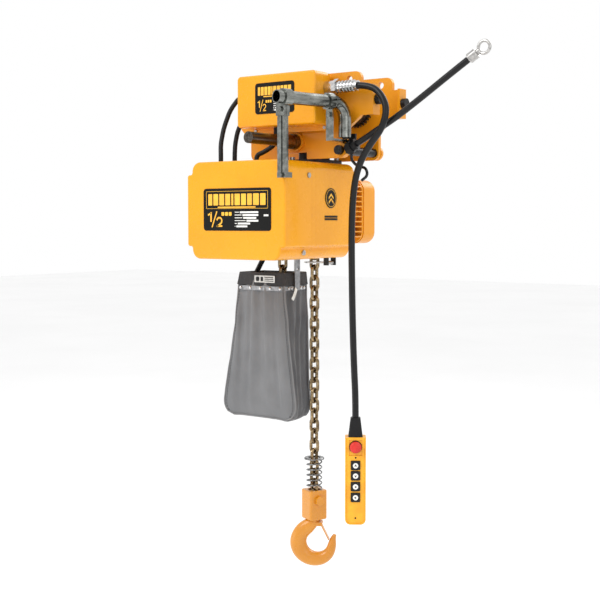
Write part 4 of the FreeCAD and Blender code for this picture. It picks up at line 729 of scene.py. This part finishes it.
def chain_bag():
    low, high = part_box("chain_bag")
    top, bottom = high[2] / MM, low[2] / MM
    falls = [row / BAG_ROWS for row in range(BAG_ROWS + 1)]
    rings = bag_points(falls, top, bottom)
    foot = rings[-1]
    for step in range(1, BAG_BASE + 1):
        drawn = 1 - step / (BAG_BASE + 0.25)
        sag = 1.5 * math.sin(0.5 * math.pi * step / BAG_BASE)
        rings.append([Vector((spot.x, spot.y * drawn, spot.z + sag)) for spot in foot])
    shell = Shape()
    shell.loft(rings, cap_start=False)
    # The gusset columns take the darker canvas copy: painted shade on the sides of the bag.
    for index in range((BAG_ROWS + BAG_BASE) * BAG_COLUMNS):
        column = index % BAG_COLUMNS
        gusset_in_painted_shade = BAG_PANEL <= column < BAG_PANEL + BAG_GUSSET or column >= 2 * BAG_PANEL + BAG_GUSSET
        shell.slots[index] = 1 if gusset_in_painted_shade else 0
    bag = shell.piece("chain_bag_cloth", [CANVAS, CANVAS_SHADED_SIDE], ROOT, "grey_canvas", smooth=True)
    hang_cloth(bag, list(range(HELD_ROWS * BAG_COLUMNS)), BAG_CAP)
    spots = [vertex.co / MM for vertex in bag.data.vertices]
    thick = bag.modifiers.new("thickness", "SOLIDIFY")
    thick.thickness = 0.0014
    thick.offset = -1
    smooth = bag.modifiers.new("smooth", "SUBSURF")
    smooth.levels = 1
    smooth.render_levels = 1
    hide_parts("chain_bag")
    bag_seams(spots)
    bag_collar(top, bottom)
    bag_rivets(top, bottom)
    bag_tags(top)


def bag_seams(spots):
    """Piping round the front and back panels, and the stitches beside it."""

    def column(index):
        return [spots[row * BAG_COLUMNS + index] for row in range(2, BAG_ROWS + 1)]

    piping = Shape()
    stitches = Shape()
    last = BAG_ROWS * BAG_COLUMNS
    for first, after, side in ((0, BAG_PANEL, -1), (BAG_PANEL + BAG_GUSSET, 2 * BAG_PANEL + BAG_GUSSET, 1)):
        foot = [spots[last + index] for index in range(first + 1, after)]
        piping.tube(column(first) + foot + column(after)[::-1], 1.5, sides=8)
        for index in (first + 1, after - 1):
            line = column(index)
            for here, there in zip(line[:-2], line[1:-1]):
                out = Vector((0, side * 0.35, 0))
                stitches.tube([here.lerp(there, 0.18) + out, here.lerp(there, 0.78) + out], 0.42, sides=5)
    piping.piece("bag_piping", [PIPING_PAINTED_HIGHLIGHT], ROOT, "grey_canvas", smooth=True)
    stitches.piece("bag_stitches", [CANVAS_DARK], ROOT, "grey_canvas")


def bag_collar(top, bottom):
    """The dark hem over the mouth, from inside the cloth over the rim and down outside it."""
    inside = ((0.05, -2.2), (0.0, -1.6))
    rings = []
    for fall, proud in inside + COLLAR_RINGS:
        rings.append([Vector((x, y, z)) for x, y, z, _, _ in bag_ring(fall, top, bottom, proud)])
    collar = Shape()
    collar.loft(rings, cap_start=False, cap_end=False)
    collar.piece("bag_collar", [CANVAS_DARK], ROOT, "grey_canvas")


def bag_rivets(top, bottom):
    """Rivets on the front and the right side of the steel hoop."""
    rivet_radius, rivet_rise = 3.1, 1.8
    hoop_z = top - HOOP_DROP
    hoop_low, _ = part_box("bag_frame")
    left, right, _ = bag_extent(HOOP_DROP / (top - bottom))
    first, last, count = left + 8, right - 8, 5
    facing = Plane((0, hoop_low[1] / MM, 0), (1, 0, 0))
    beside = Plane((right + 2.4, 0, 0), (0, 1, 0))
    spots = [(facing, first + (last - first) * step / (count - 1)) for step in range(count)]
    spots += [(beside, across) for across in (-24, -14, 14, 24)]
    rivets = Shape()
    for plane, across in spots:
        rivets.dome(plane, across, hoop_z, rivet_radius, 0, rivet_rise, sides=16, steps=5)
    rivets.piece("bag_rivets", [CHROME], ROOT, "bright_steel", smooth=True)


def bag_tags(top):
    """The plate on the hem, with generic marks, and the tag that hangs from the hoop."""
    tag = Shape()
    sheet = Plane((-88, -38.4, top - 12.5), (1, 0, 0))
    face, mark = 0.7, 0.82
    tag.patch(sheet, rounded_bar(-23, 25, -6.6, 6.6, 1.2), 0, face, 0, 0.2)
    tag.patch(sheet, rounded_bar(-19, -11, -4.2, 4.2, 2.4), face, mark, 1)
    tag.patch(sheet, rounded_bar(-8, -2, -4.2, 4.2, 1.6), face, mark, 1)
    for line_height in (-3.4, 0, 3.4):
        tag.patch(sheet, bar(1, 22, line_height - 0.9, line_height + 0.7), face, mark, 1)
    tag.piece("bag_tag", [SILVER, PLASTIC], ROOT, "bright_steel")

    leaf = Shape()
    lean = math.radians(34)
    leaf_length, steps = 25, 6
    corner = Vector((-38.2, -3, top - 32))
    rings = []
    for step in range(steps + 1):
        along = leaf_length * step / steps
        curl = 1.6 * math.sin(0.4 * step)
        spot = corner + Vector((curl + 1.2, -along * math.sin(lean), -along * math.cos(lean)))
        wide = Vector((0, -math.cos(lean), math.sin(lean))) * 8
        thick_way = Vector((0.35, 0, 0))
        rings.append([spot, spot + wide, spot + wide + thick_way, spot + thick_way])
    leaf.loft(rings)
    leaf.piece("hanging_tag", [WHITE], ROOT, "yellow_paint")


# --- studio --------------------------------------------------------------------------------------

CAMERA_PLACE = (1.1395, -1.6438, -0.178)
CAMERA_AZIMUTH = math.radians(35.5)
CAMERA_PITCH = math.radians(-4.13)
FLOOR_Z = -1.12


def studio():
    camera = bpy.data.objects.new("camera", bpy.data.cameras.new("camera"))
    bpy.context.collection.objects.link(camera)
    camera.location = CAMERA_PLACE
    camera.rotation_euler = (math.pi / 2 + CAMERA_PITCH, 0, CAMERA_AZIMUTH)
    camera.data.lens = 64.8
    camera.data.sensor_width = 36
    camera.data.clip_end = 60
    bpy.context.scene.camera = camera

    lamps = [
        ("key", (-0.9, -2.3, 1.7), 1.5, 34),
        ("fill", (2.6, -1.2, 0.5), 1.8, 8),
        ("back", (0.6, 2.3, 1.6), 1.6, 26),
        ("low", (-1.4, -1.6, -0.9), 1.2, 5),
    ]
    for name, place, side, power in lamps:
        data = bpy.data.lights.new(name, "AREA")
        data.size = side
        data.energy = power
        lamp = bpy.data.objects.new(name, data)
        lamp.location = place
        aim = Vector((0, 0, -0.25)) - Vector(place)
        lamp.rotation_euler = aim.to_track_quat("-Z", "Y").to_euler()
        bpy.context.collection.objects.link(lamp)

    world = bpy.data.worlds.new("studio")
    world.use_nodes = True
    world.node_tree.nodes["Background"].inputs["Color"].default_value = (1, 1, 1, 1)
    world.node_tree.nodes["Background"].inputs["Strength"].default_value = 1.0
    bpy.context.scene.world = world
    bpy.context.scene.view_settings.view_transform = "Standard"

    half = 14
    outline = [(x, y, FLOOR_Z) for x, y in ((-half, -half), (half, -half), (half, half), (-half, half))]
    mesh = bpy.data.meshes.new("floor")
    mesh.from_pydata(outline, [], [(0, 1, 2, 3)])
    floor = bpy.data.objects.new("floor", mesh)
    bpy.context.collection.objects.link(floor)
    shader = Shader("floor_pale", roughness=0.8)
    cloudy = shader.ramp(shader.noise(1.2, 3), 0.3, 0.7)
    shader.colour(shader.mix(cloudy, (0.93, 0.93, 0.93), (0.96, 0.96, 0.96)))
    mesh.materials.append(shader.material)


paint_nodes()
studio()
cords()
labels()
pendant_details()
chain_bag()
